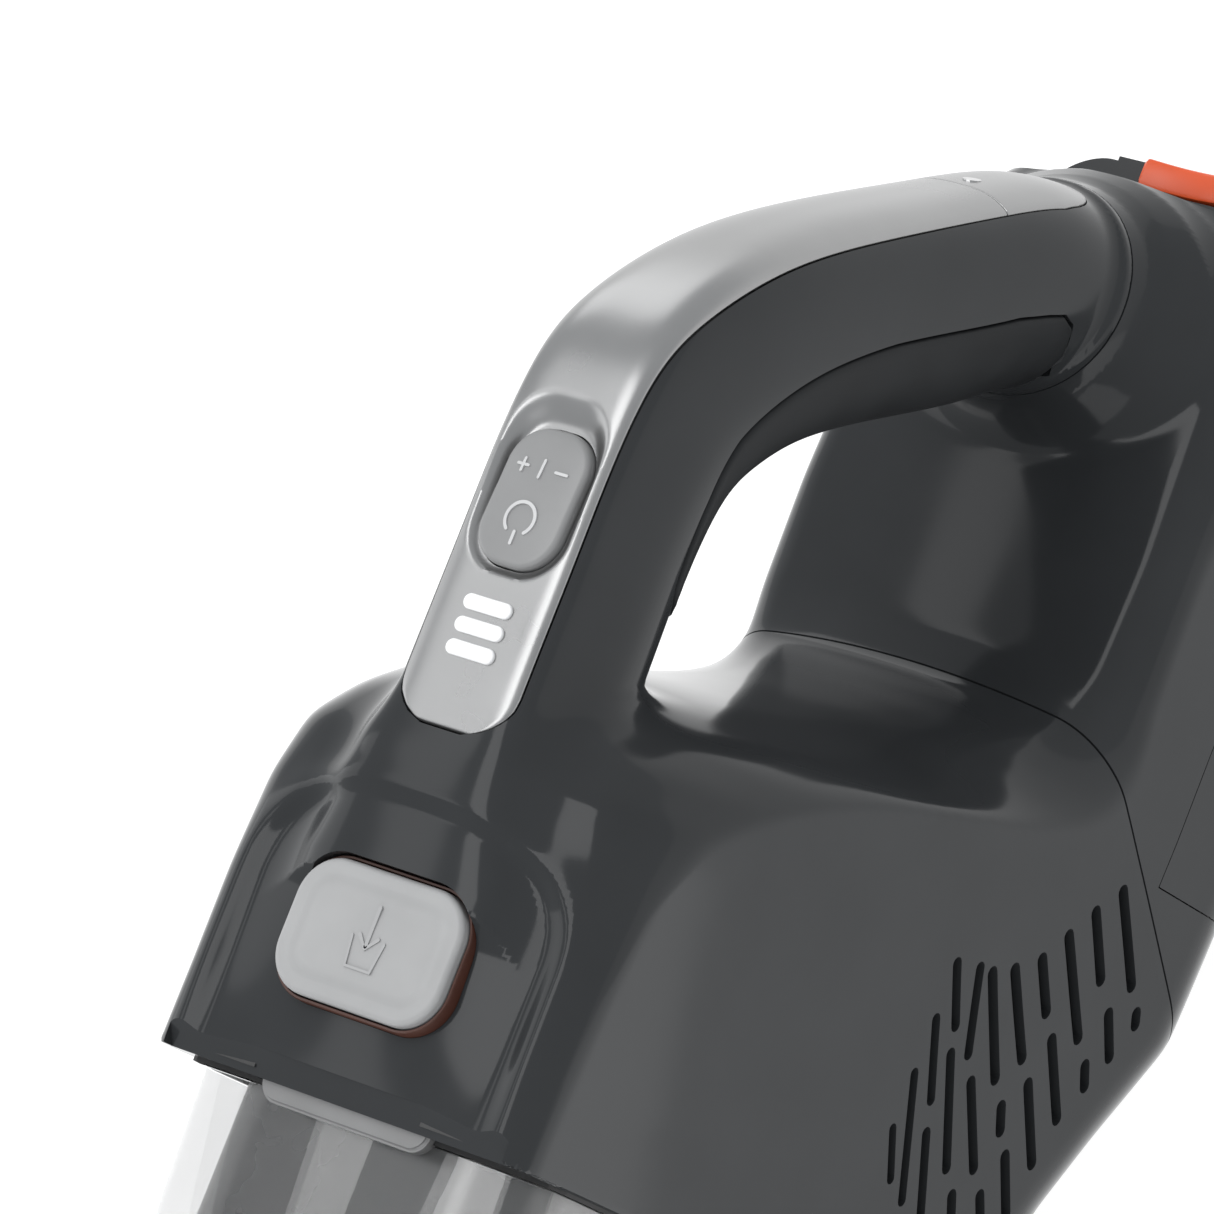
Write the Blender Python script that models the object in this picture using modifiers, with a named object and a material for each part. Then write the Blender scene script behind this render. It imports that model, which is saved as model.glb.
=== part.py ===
"""Cordless handheld vacuum: clear dust bowl in front, motor housing, loop handle and slide-in battery.

Metres, +Z up. The nozzle points to -Y, the battery end to +Y, and the object is symmetric about X = 0.
The origin is under the middle of the object's length, on the surface that it stands on.
"""

import math

import bmesh
import bpy
import numpy as np
from mathutils import Matrix, Vector

# ---------------------------------------------------------------- driving dimensions
GAP = 0.0003            # air left between neighbouring pieces
WALL = 0.0028           # moulded housing wall
BOWL_WALL = 0.0024      # clear bowl wall
JOINT_Y = -0.0570       # front rim of the motor housing, where the bowl meets it
BOWL_REAR_Y = -0.0586   # rear rim of the dust bowl
NOSE_Y = -0.2020        # front face of the nozzle
TAIL_Y = 0.2020         # rear face of the battery
BATTERY_FRONT_Y = 0.0520
BATTERY_TOP_Z = 0.0465
BATTERY_BLOCK_Y = 0.1885    # where the battery's end block rises behind the tail
BLOCK_TOP_Z = 0.0570
SEAM_Y, SEAM_Z, SEAM_SLOPE = 0.0740, 0.0870, 1.5    # slanted seam between the two housings
HANDLE_END_Z = 0.0990   # level where the grip ends in the tail's socket
MOTOR_Z = 0.1280        # height of the motor's axis
BOWL_HINGE_Y, BOWL_HINGE_Z = -0.0580, 0.0255
CATCH_PIVOT_Y, CATCH_PIVOT_Z = -0.0460, 0.2135
FLAP_HINGE_Y, FLAP_HINGE_Z = -0.1392, 0.0690
EMPTY_Y, EMPTY_TOP_Z = -0.0264, 0.2290
EMPTY_W, EMPTY_L = 0.0410, 0.0277
POWER_Y, POWER_W, POWER_L = 0.0645, 0.0195, 0.0287
LIGHT_Y, LIGHT_PITCH, LIGHT_W, LIGHT_L = 0.0372, 0.0047, 0.0118, 0.0032
STRUT_TOP_Z = 0.2320
RING_POINTS = 32        # points round a hull section

# Hull stations: y, top at the middle, crown, half width, underside, top corner radius, lower corner radius
HULL = np.array([
    (-0.0570, 0.2230, 0.0012, 0.0475, 0.0335, 0.008, 0.026),
    (-0.0400, 0.2262, 0.0042, 0.0475, 0.0280, 0.008, 0.028),
    (-0.0200, 0.2278, 0.0058, 0.0480, 0.0225, 0.008, 0.028),
    (0.0000, 0.2284, 0.0066, 0.0485, 0.0120, 0.010, 0.028),
    (0.0140, 0.2265, 0.0080, 0.0490, 0.0040, 0.012, 0.028),
    (0.0240, 0.2200, 0.0120, 0.0495, 0.0000, 0.015, 0.026),
    (0.0330, 0.2085, 0.0170, 0.0500, 0.0000, 0.016, 0.026),
    (0.0400, 0.1930, 0.0220, 0.0503, 0.0000, 0.016, 0.026),
    (0.0450, 0.1740, 0.0260, 0.0505, 0.0000, 0.016, 0.026),
    (0.0500, 0.1520, 0.0270, 0.0507, 0.0000, 0.015, 0.026),
    (0.0550, 0.1340, 0.0260, 0.0508, 0.0000, 0.014, 0.026),
    (0.0610, 0.1160, 0.0210, 0.0510, 0.0000, 0.013, 0.026),
    (0.0670, 0.1020, 0.0140, 0.0510, 0.0000, 0.012, 0.026),
    (0.0740, 0.0905, 0.0065, 0.0510, 0.0000, 0.011, 0.026),
    (0.0850, 0.0865, 0.0030, 0.0510, 0.0000, 0.010, 0.026),
    (0.1100, 0.0860, 0.0025, 0.0510, 0.0000, 0.010, 0.026),
    (0.1450, 0.0860, 0.0030, 0.0505, 0.0000, 0.011, 0.026),
    (0.1700, 0.0850, 0.0040, 0.0485, 0.0000, 0.012, 0.026),
    (0.1820, 0.0810, 0.0060, 0.0455, 0.0000, 0.014, 0.026),
    (0.1900, 0.0770, 0.0080, 0.0420, 0.0000, 0.016, 0.026),
    (0.1970, 0.0750, 0.0090, 0.0370, 0.0000, 0.016, 0.024),
    (0.2020, 0.0740, 0.0090, 0.0310, 0.0000, 0.016, 0.022),
])

# Dust bowl stations, in the same order of values
BOWL = np.array([
    (-0.2020, 0.0460, 0.0040, 0.0395, 0.0000, 0.009, 0.006),
    (-0.1860, 0.0870, 0.0060, 0.0410, 0.0015, 0.012, 0.010),
    (-0.1650, 0.1370, 0.0060, 0.0430, 0.0060, 0.014, 0.016),
    (-0.1430, 0.1750, 0.0050, 0.0450, 0.0130, 0.014, 0.020),
    (-0.1190, 0.2010, 0.0040, 0.0465, 0.0200, 0.012, 0.022),
    (-0.0950, 0.2130, 0.0030, 0.0470, 0.0265, 0.010, 0.024),
    (-0.0586, 0.2148, 0.0025, 0.0470, 0.0345, 0.010, 0.024),
])

# Handle stations: outer y, z and inner y, z of the side profile, half width, squareness of the section
HANDLE = [
    (-0.0120, 0.2262, -0.0120, 0.1980, 0.0250, 3.0),
    (0.0020, 0.2296, 0.0020, 0.1950, 0.0222, 3.0),
    (0.0200, 0.2312, 0.0260, 0.1935, 0.0206, 3.0),
    (0.0520, 0.2314, 0.0540, 0.1935, 0.0198, 3.0),
    (0.0700, 0.2316, 0.0640, 0.1935, 0.0196, 3.0),
    (0.0930, 0.2302, 0.0780, 0.1910, 0.0196, 2.9),
    (0.1120, 0.2212, 0.0890, 0.1835, 0.0196, 2.8),
    (0.1320, 0.2000, 0.0990, 0.1710, 0.0198, 2.6),
    (0.1500, 0.1700, 0.1105, 0.1500, 0.0203, 2.4),
    (0.1650, 0.1400, 0.1230, 0.1250, 0.0214, 2.3),
    (0.1755, 0.1150, 0.1325, 0.1080, 0.0232, 2.2),
    (0.1840, 0.0930, 0.1375, 0.0930, 0.0250, 2.1),
]
GRIP_STATIONS = slice(3, 11)    # stretch of the handle that carries the soft insert
HANDLE_TAPER = 0.18     # how much narrower the crest is than the middle

# Silver cover: crest line of the handle that it follows, with its half width there
PANEL_PATH = [
    (0.0160, 0.2320, 0.0095),
    (0.0180, 0.2320, 0.0125),
    (0.0230, 0.2320, 0.0145),
    (0.0600, 0.2320, 0.0145),
    (0.0880, 0.2320, 0.0145),
    (0.1010, 0.2288, 0.0147),
    (0.1150, 0.2205, 0.0148),
    (0.1330, 0.2010, 0.0149),
    (0.1510, 0.1715, 0.0149),
    (0.1665, 0.1405, 0.0146),
    (0.1765, 0.1165, 0.0130),
    (0.1797, 0.1080, 0.0112),
    (0.1815, 0.1030, 0.0070),
]
PANEL_SPLIT = 9         # index of the station where the end cap begins
PANEL_DEPTH = 0.0026

# Vent columns in each flank: y, z of the upper end, slot lengths from the top
VENTS = [
    (0.0415, 0.0655, (0.0210, 0.0060)),
    (0.0360, 0.0720, (0.0190, 0.0100)),
    (0.0310, 0.0775, (0.0240, 0.0100)),
    (0.0270, 0.0840, (0.0170, 0.0150)),
    (0.0225, 0.0905, (0.0250, 0.0130)),
    (0.0195, 0.0970, (0.0210, 0.0150)),
    (0.0175, 0.1040, (0.0170, 0.0120)),
    (0.0155, 0.1115, (0.0150, 0.0100)),
]
VENT_SLOPE, VENT_WIDTH, VENT_BRIDGE = 1.1, 0.0028, 0.0030

PARTS = None
CUTTERS = None


# ---------------------------------------------------------------- scene and materials
def clear_scene():
    for obj in list(bpy.data.objects):
        bpy.data.objects.remove(obj, do_unlink=True)


def make_collections():
    global PARTS, CUTTERS
    PARTS = bpy.data.collections.new("handheld_vacuum")
    CUTTERS = bpy.data.collections.new("cutters")
    for collection in (PARTS, CUTTERS):
        bpy.context.scene.collection.children.link(collection)


def material(name, colour, roughness, metallic=0.0, alpha=1.0):
    mat = bpy.data.materials.new(name)
    mat.use_nodes = True
    shader = mat.node_tree.nodes["Principled BSDF"]
    shader.inputs["Base Color"].default_value = (*colour, 1.0)
    shader.inputs["Roughness"].default_value = roughness
    shader.inputs["Metallic"].default_value = metallic
    shader.inputs["Alpha"].default_value = alpha
    return mat


def make_materials():
    return {
        "housing": material("housing_grey", (0.058, 0.060, 0.064), 0.32),
        "grip": material("soft_grip", (0.045, 0.047, 0.050), 0.62),
        "silver": material("satin_silver", (0.45, 0.45, 0.46), 0.30, 0.8),
        "button": material("button_grey", (0.50, 0.50, 0.50), 0.45),
        "power": material("power_grey", (0.25, 0.25, 0.26), 0.40),
        "orange": material("signal_orange", (0.80, 0.11, 0.02), 0.40),
        "trim": material("trim_brown", (0.10, 0.03, 0.015), 0.50),
        "light": material("light_white", (0.95, 0.95, 0.95), 0.30),
        "clear": material("clear_bowl", (0.90, 0.92, 0.93), 0.05, 0.0, 0.3),
        "filter": material("filter_grey", (0.20, 0.20, 0.20), 0.40),
        "paper": material("filter_paper", (0.85, 0.84, 0.78), 0.90),
        "rubber": material("black_rubber", (0.02, 0.02, 0.02), 0.80),
        "black": material("inner_black", (0.03, 0.03, 0.03), 0.55),
        "steel": material("steel", (0.55, 0.55, 0.55), 0.35, 1.0),
        "board": material("board_green", (0.02, 0.12, 0.04), 0.50),
        "copper": material("brass", (0.75, 0.50, 0.20), 0.35, 1.0),
        "cell": material("cell_wrap", (0.05, 0.20, 0.45), 0.40),
    }


# ---------------------------------------------------------------- general shape helpers
def link_mesh(name, bm, mat, collection):
    bmesh.ops.recalc_face_normals(bm, faces=bm.faces[:])
    mesh = bpy.data.meshes.new(name)
    bm.to_mesh(mesh)
    bm.free()
    obj = bpy.data.objects.new(name, mesh)
    if mat:
        mesh.materials.append(mat)
    collection.objects.link(obj)
    if collection is CUTTERS:
        obj.hide_render = True
        obj.display_type = "WIRE"
    return obj


def target(collection):
    return collection or PARTS


def loft(name, rings, mat=None, collection=None):
    """Closed solid through rings of equal point counts, capped at both ends."""
    bm = bmesh.new()
    loops = [[bm.verts.new(p) for p in ring] for ring in rings]
    count = len(loops[0])
    for low, high in zip(loops, loops[1:]):
        for i in range(count):
            j = (i + 1) % count
            bm.faces.new((low[i], low[j], high[j], high[i]))
    bm.faces.new(loops[0])
    bm.faces.new(loops[-1])
    return link_mesh(name, bm, mat, target(collection))


def box(name, low, high, mat=None, bevel=0.0, collection=None, segments=2):
    low, high = Vector(low), Vector(high)
    bm = bmesh.new()
    bmesh.ops.create_cube(bm, size=1.0)
    bmesh.ops.scale(bm, vec=high - low, verts=bm.verts)
    bmesh.ops.translate(bm, vec=(low + high) / 2, verts=bm.verts)
    if bevel:
        bmesh.ops.bevel(bm, geom=bm.edges[:], offset=bevel, segments=segments, affect="EDGES", profile=0.5)
    return link_mesh(name, bm, mat, target(collection))


def cylinder(name, start, end, radius, mat=None, sides=24, collection=None, end_radius=None):
    start, end = Vector(start), Vector(end)
    axis = end - start
    turn = axis.to_track_quat("Z", "Y").to_matrix().to_4x4()
    bm = bmesh.new()
    bmesh.ops.create_cone(
        bm, cap_ends=True, segments=sides, radius1=radius,
        radius2=radius if end_radius is None else end_radius, depth=axis.length,
        matrix=Matrix.Translation((start + end) / 2) @ turn)
    return link_mesh(name, bm, mat, target(collection))


def extrude_outline(name, points, direction, mat=None, collection=None):
    """Solid from a flat outline pushed along a direction."""
    bm = bmesh.new()
    face = bm.faces.new([bm.verts.new(p) for p in points])
    made = bmesh.ops.extrude_face_region(bm, geom=[face])
    moved = [v for v in made["geom"] if isinstance(v, bmesh.types.BMVert)]
    bmesh.ops.translate(bm, vec=direction, verts=moved)
    return link_mesh(name, bm, mat, target(collection))


def side_prism(name, outline, x_low, x_high, mat=None, collection=None):
    """Prism whose outline lies in the YZ plane."""
    return extrude_outline(name, [(x_low, y, z) for y, z in outline], (x_high - x_low, 0, 0), mat, collection)


def round_rect(width, length, radius, steps=4):
    """Outline of a rounded rectangle about the origin, in two coordinates."""
    points = []
    for sx, sy, start in ((1, 1, 0), (-1, 1, 90), (-1, -1, 180), (1, -1, 270)):
        for k in range(steps + 1):
            a = math.radians(start + 90 * k / steps)
            points.append((sx * (width / 2 - radius) + radius * math.cos(a),
                           sy * (length / 2 - radius) + radius * math.sin(a)))
    return points


def top_prism(name, centre, size, radius, z_low, z_high, mat=None, collection=None, steps=4):
    """Upright prism with a rounded rectangular plan."""
    outline = [(centre[0] + x, centre[1] + y, z_low) for x, y in round_rect(*size, radius, steps)]
    return extrude_outline(name, outline, (0, 0, z_high - z_low), mat, collection)


def face_prism(name, centre, size, radius, y_low, y_high, mat=None, collection=None, steps=4):
    """Rounded rectangle in the XZ plane pushed along Y."""
    outline = [(centre[0] + x, y_low, centre[1] + z) for x, z in round_rect(*size, radius, steps)]
    return extrude_outline(name, outline, (0, y_high - y_low, 0), mat, collection)


def turned(name, profile, centre, mat, sides=32, collection=None):
    """Closed profile of (radius, height) turned about an axis through the centre, along Y."""
    mesh = bpy.data.meshes.new(name)
    area = sum(r0 * h1 - r1 * h0 for (r0, h0), (r1, h1) in zip(profile, profile[1:] + profile[:1]))
    if area > 0:
        profile = profile[::-1]
    verts = [(r, 0.0, h) for r, h in profile]
    mesh.from_pydata(verts, [(i, (i + 1) % len(verts)) for i in range(len(verts))], [])
    obj = bpy.data.objects.new(name, mesh)
    mesh.materials.append(mat)
    target(collection).objects.link(obj)
    screw = obj.modifiers.new("turn", "SCREW")
    screw.axis = "Z"
    screw.steps = screw.render_steps = sides
    screw.use_merge_vertices = True
    screw.merge_threshold = 0.00001
    obj.rotation_euler = (-math.pi / 2, 0, 0)
    obj.location = centre
    return obj


def set_origin(obj, point):
    """Moves the origin of a piece to a point on its joint axis, and leaves its shape in place."""
    point = Vector(point)
    obj.data.transform(Matrix.Translation(-point))
    obj.location = point


def boolean(obj, cutter, operation="DIFFERENCE"):
    mod = obj.modifiers.new(operation.lower(), "BOOLEAN")
    mod.operation = operation
    mod.object = cutter
    mod.solver = "EXACT"
    return obj


def cutter(maker, *args, **kwargs):
    return maker(*args, collection=CUTTERS, **kwargs)


# ---------------------------------------------------------------- hull sections
def station(table, y):
    return [float(np.interp(y, table[:, 0], table[:, k])) for k in range(1, table.shape[1])]


def section(y, values, inset=0.0, floor=None):
    """Ring in the XZ plane: crowned top, round corners, straight flanks, round lower corners."""
    top, crown, half, bottom, r_top, r_low = values
    top, half = top - inset, half - inset
    bottom = bottom + inset if floor is None else floor
    r_top, r_low = max(r_top - inset, 0.003), max(r_low - inset, 0.003)
    if floor is not None:
        r_low = 0.004
    shoulder = top - crown
    right = []
    for f in (0.0, 0.4, 0.75):
        right.append(((half - r_top) * f, top - crown * f * f))
    for k in range(4):
        a = math.radians(90 - 30 * k)
        right.append((half - r_top + r_top * math.cos(a), shoulder - r_top + r_top * math.sin(a)))
    upper, lower = shoulder - r_top, bottom + r_low
    for f in (0.33, 0.67):
        right.append((half, upper + (lower - upper) * f))
    for k in range(6):
        a = math.radians(-18 * k)
        right.append((half - r_low + r_low * math.cos(a), lower + r_low * math.sin(a)))
    right.append(((half - r_low) * 0.5, bottom))
    right.append((0.0, bottom))
    left = [(-x, z) for x, z in right[-2:0:-1]]
    return [Vector((x, y, z)) for x, z in right + left]


def hull_rings(table, y_from, y_to, inset=0.0, shift=0.0, floor=None):
    """Rings from y_from to y_to. The shift reads the table further on, which keeps a steep wall thick."""
    inner = [y for y in table[:, 0] - shift if y_from < y < y_to]
    rings = []
    for y in [y_from] + inner + [y_to]:
        rings.append(section(y, station(table, y + shift), inset, floor))
    return rings


def seam_side(offset, front):
    """Outline of the half space in front of, or behind, the slanted seam plane, moved by an offset."""
    reach = 0.40
    y_low, y_high = SEAM_Y - reach, SEAM_Y + reach
    z_low = SEAM_Z - SEAM_SLOPE * reach
    z_high = SEAM_Z + SEAM_SLOPE * reach
    shift = offset * math.hypot(1, SEAM_SLOPE) / SEAM_SLOPE
    line = [(y_low + shift, z_low), (y_high + shift, z_high)]
    corner = (y_low - reach, z_high) if front else (y_high + reach, z_low)
    return line + [corner]


def handle_ring(outer_y, outer_z, inner_y, inner_z, half, square, grow=0.0, count=24):
    middle = Vector((0, (outer_y + inner_y) / 2, (outer_z + inner_z) / 2))
    normal = Vector((0, outer_y - inner_y, outer_z - inner_z))
    reach = normal.length / 2 + grow
    normal.normalize()
    ring = []
    for k in range(count):
        a = 2 * math.pi * k / count
        c, s = math.cos(a), math.sin(a)
        x = (half + grow) * math.copysign(abs(c) ** (2 / square), c) * (1 - HANDLE_TAPER * max(s, 0) ** 1.5)
        n = reach * math.copysign(abs(s) ** (2 / square), s)
        ring.append(middle + Vector((x, 0, 0)) + normal * n)
    return ring


def panel_rings(first, last, grow=0.0, drop=PANEL_DEPTH):
    """Rings of the silver cover between two stations of its path."""
    rings = []
    for i in range(first, last + 1):
        y, z, half = PANEL_PATH[i]
        before = Vector(PANEL_PATH[max(i - 1, 0)][:2])
        after = Vector(PANEL_PATH[min(i + 1, len(PANEL_PATH) - 1)][:2])
        along = (after - before).normalized()
        up = Vector((0, -along.y, along.x))
        base = Vector((0, y, z))
        if grow and i in (first, last):
            base += Vector((0, along.x, along.y)) * grow * (-1 if i == first else 1)
        w = half + grow
        lift = 0.004 if grow else 0.0
        ring = [base + up * (lift - 0.0008) + Vector((-w, 0, 0)),
                base + up * lift + Vector((-w * 0.86, 0, 0)),
                base + up * (lift + 0.0002),
                base + up * lift + Vector((w * 0.86, 0, 0)),
                base + up * (lift - 0.0008) + Vector((w, 0, 0)),
                base - up * (drop + grow) + Vector((w, 0, 0)),
                base - up * (drop + grow),
                base - up * (drop + grow) + Vector((-w, 0, 0))]
        rings.append(ring)
    return rings


# ---------------------------------------------------------------- housings
def make_main_housing(mat):
    body = loft("main_housing", hull_rings(HULL, JOINT_Y, 0.0770), mat)
    handle = cutter(loft, "handle_solid", [handle_ring(*s) for s in HANDLE])
    below = cutter(box, "below_handle_end", (-0.05, 0.080, 0.060), (0.05, 0.21, HANDLE_END_Z + GAP / 2))
    boolean(handle, below)
    hollow = hull_rings(HULL, JOINT_Y - 0.004, 0.0790, WALL, 0.0035)
    cavity = cutter(loft, "main_cavity", hollow)
    boolean(body, cutter(side_prism, "behind_seam", seam_side(-GAP / 2, False), -0.08, 0.08))
    boolean(body, handle, "UNION")
    boolean(body, cavity)
    boolean(body, cutter(loft, "panel_seat", panel_rings(0, len(PANEL_PATH) - 1, GAP)))
    boolean(body, cutter(box, "board_pocket", (-0.0125, 0.0200, 0.2140), (0.0125, 0.0900, 0.2310)))
    boolean(body, cutter(top_prism, "empty_opening", (0, EMPTY_Y),
                         (EMPTY_W + 0.0042, EMPTY_L + 0.0042), 0.0105, 0.2050, 0.2400))
    for side in (-1, 1):
        cheek = [(-0.0505, 0.2222), (-0.0505, 0.2085), (-0.0420, 0.2035), (-0.0140, 0.2035), (-0.0140, 0.2070),
                 (-0.0380, 0.2070), (-0.0425, 0.2150), (-0.0425, 0.2222)]
        boolean(body, cutter(side_prism, f"catch_cheek_{side}", cheek, side * 0.0232 - 0.0018,
                             side * 0.0232 + 0.0018), "UNION")
    boolean(body, cutter(box, "spring_shelf", (-0.0240, -0.0260, 0.2035), (0.0240, -0.0140, 0.2057)), "UNION")
    boolean(body, cutter(cylinder, "catch_cheek_bore", (-0.03, CATCH_PIVOT_Y, CATCH_PIVOT_Z),
                         (0.03, CATCH_PIVOT_Y, CATCH_PIVOT_Z), 0.0016, sides=16))
    boolean(body, cutter(vent_slots, "vent_slots"))
    boolean(body, cutter(grip_seat_solid, "grip_seat", GAP))
    for side in (-1, 1):
        lug = cutter(cylinder, f"hinge_lug_{side}", (side * 0.0310, BOWL_HINGE_Y + 0.0006, BOWL_HINGE_Z),
                     (side * 0.0225, BOWL_HINGE_Y + 0.0006, BOWL_HINGE_Z), 0.0052)
        web = cutter(side_prism, f"hinge_web_{side}",
                     [(-0.0566, 0.0270), (-0.0566, 0.0370), (-0.0400, 0.0320), (-0.0480, 0.0245)],
                     side * 0.0268 - 0.00425, side * 0.0268 + 0.00425)
        boolean(lug, web, "UNION")
        boolean(body, lug, "UNION")
    boolean(body, cutter(cylinder, "hinge_bore", (-0.036, BOWL_HINGE_Y, BOWL_HINGE_Z),
                         (0.036, BOWL_HINGE_Y, BOWL_HINGE_Z), 0.0023, sides=16))
    return body


def vent_slots(name, collection):
    """Columns of slots through both flanks. They run forward and down, and get shorter to the bottom."""
    along = Vector((0, -1, -VENT_SLOPE)).normalized()
    bm = bmesh.new()
    for side in (-1, 1):
        for y, z, lengths in VENTS:
            start = Vector((side * 0.0500 - 0.006, y, z))
            for length in lengths:
                end = start + along * length
                wide = Vector((0, VENT_WIDTH / 2, -VENT_WIDTH / 2 / VENT_SLOPE))
                corners = [start - wide, start + wide, end + wide, end - wide]
                low = [bm.verts.new(p) for p in corners]
                high = [bm.verts.new(p + Vector((0.012, 0, 0))) for p in corners]
                bm.faces.new(low)
                bm.faces.new(high)
                for k in range(4):
                    m = (k + 1) % 4
                    bm.faces.new((low[k], low[m], high[m], high[k]))
                start = end + along * VENT_BRIDGE
    return link_mesh(name, bm, None, collection)


def make_rear_housing(mat):
    tail = loft("rear_housing", hull_rings(HULL, 0.0000, BATTERY_BLOCK_Y - GAP), mat)
    socket_rings = []
    for z, middle, half_y, half_x in ((0.0770, 0.1575, 0.0345, 0.0335), (0.0880, 0.1580, 0.0325, 0.0310),
                                      (0.0940, 0.1585, 0.0295, 0.0288), (0.0990, 0.1585, 0.0262, 0.0268)):
        socket_rings.append([Vector((half_x * math.cos(a), middle + half_y * math.sin(a), z - GAP / 2))
                             for a in np.linspace(0, 2 * math.pi, 28, endpoint=False)])
    boolean(tail, cutter(loft, "socket", socket_rings), "UNION")
    boolean(tail, cutter(side_prism, "ahead_of_seam", seam_side(GAP / 2, True), -0.08, 0.08))
    boolean(tail, cutter(box, "battery_bay", (-0.08, BATTERY_FRONT_Y - GAP, -0.01),
                         (0.08, 0.25, BATTERY_TOP_Z + GAP)))
    front = hull_rings(HULL, -0.0010, BATTERY_FRONT_Y - 0.0032, WALL, 0.0035)
    boolean(tail, cutter(loft, "tail_front_cavity", front))
    rear = hull_rings(HULL, BATTERY_FRONT_Y - 0.0040, 0.1830, WALL, 0.0035, floor=BATTERY_TOP_Z + 0.0030)
    boolean(tail, cutter(loft, "tail_rear_cavity", rear))
    boolean(tail, cutter(box, "terminal_window", (-0.0260, 0.0600, 0.0400), (0.0260, 0.0780, 0.0560)))
    return tail


# ---------------------------------------------------------------- handle trim
def grip_seat_solid(name, grow=0.0, mat=None, collection=None):
    """Band that wraps the inner side of the grip."""
    rings = []
    for outer_y, outer_z, inner_y, inner_z, half, square in HANDLE[GRIP_STATIONS]:
        outer, inner = Vector((0, outer_y, outer_z)), Vector((0, inner_y, inner_z))
        normal = (outer - inner).normalized()
        ring = []
        for a in range(0, 181, 20):
            c, s = math.cos(math.radians(a)), math.sin(math.radians(a))
            x = (half + 0.0008 + grow) * math.copysign(abs(c) ** (2 / square), c)
            reach = (outer - inner).length / 2 + 0.0008 + grow
            ring.append((outer + inner) / 2 + Vector((x, 0, 0)) - normal * reach * abs(s) ** (2 / square))
        for a in range(180, -1, -20):
            c, s = math.cos(math.radians(a)), math.sin(math.radians(a))
            x = (half - 0.0018 - grow) * math.copysign(abs(c) ** (2 / square), c)
            reach = (outer - inner).length / 2 - 0.0018 - grow
            ring.append((outer + inner) / 2 + Vector((x, 0, 0)) - normal * reach * abs(s) ** (2 / square))
        rings.append(ring)
    if grow:
        for ring, step in ((rings[0], rings[1]), (rings[-1], rings[-2])):
            away = (sum(ring, Vector()) - sum(step, Vector())).normalized() * grow
            for point in ring:
                point += away
    return loft(name, rings, mat, collection)


def make_power_panel(mat):
    panel = loft("power_panel", panel_rings(0, PANEL_SPLIT), mat)
    boolean(panel, cutter(top_prism, "power_opening", (0, POWER_Y),
                          (POWER_W + 0.0008, POWER_L + 0.0008), 0.0072, 0.2250, 0.2400))
    for k in (-1, 0, 1):
        boolean(panel, cutter(top_prism, f"light_slot_{k}", (0, LIGHT_Y + k * LIGHT_PITCH),
                              (LIGHT_W + 0.0004, LIGHT_L + 0.0004), 0.0017, 0.2250, 0.2400, steps=3))
    return panel


def make_end_cap(mat, screw_mat):
    rings = panel_rings(PANEL_SPLIT, len(PANEL_PATH) - 1)
    along = (rings[1][2] - rings[0][2]).normalized() * GAP
    rings[0] = [p + along for p in rings[0]]
    cap = loft("panel_end_cap", rings, mat)
    y, z, _ = PANEL_PATH[PANEL_SPLIT]
    along = Vector((0, PANEL_PATH[10][0] - y, PANEL_PATH[10][1] - z)).normalized()
    up = Vector((0, -along.z, along.y))
    centre = Vector((0, y, z)) + along * 0.009
    boolean(cap, cutter(cylinder, "screw_seat", centre - up * 0.0018, centre + up * 0.01, 0.0024, sides=16))
    cylinder("panel_screw", centre - up * (0.0018 - GAP), centre - up * 0.0004, 0.0020, screw_mat, sides=16)
    return cap


def make_power_button(mat):
    cap = top_prism("power_button", (0, POWER_Y), (POWER_W, POWER_L), 0.0068, 0.2290, 0.2332, mat, steps=5)
    lower = cutter(top_prism, "power_skirt", (0, POWER_Y), (POWER_W - 0.005, POWER_L - 0.005), 0.0050,
                   0.2262, 0.2292)
    boolean(cap, lower, "UNION")
    set_origin(cap, (0, POWER_Y, STRUT_TOP_Z))


def make_charge_lights(mat):
    base = box("charge_lights", (-0.0085, LIGHT_Y - 0.0080, 0.2250), (0.0085, LIGHT_Y + 0.0080, 0.2268), mat)
    for k in (-1, 0, 1):
        bar = cutter(top_prism, f"light_bar_{k}", (0, LIGHT_Y + k * LIGHT_PITCH), (LIGHT_W, LIGHT_L), 0.0016,
                     0.2260, STRUT_TOP_Z + 0.0001, steps=3)
        boolean(base, bar, "UNION")
    return base


def make_board(mat, switch_mat):
    box("circuit_board", (-0.0115, 0.0230, 0.2175), (0.0115, 0.0870, 0.2191), mat)
    box("power_switch", (-0.0035, POWER_Y - 0.0035, 0.2194), (0.0035, POWER_Y + 0.0035, 0.2242), switch_mat)


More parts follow.
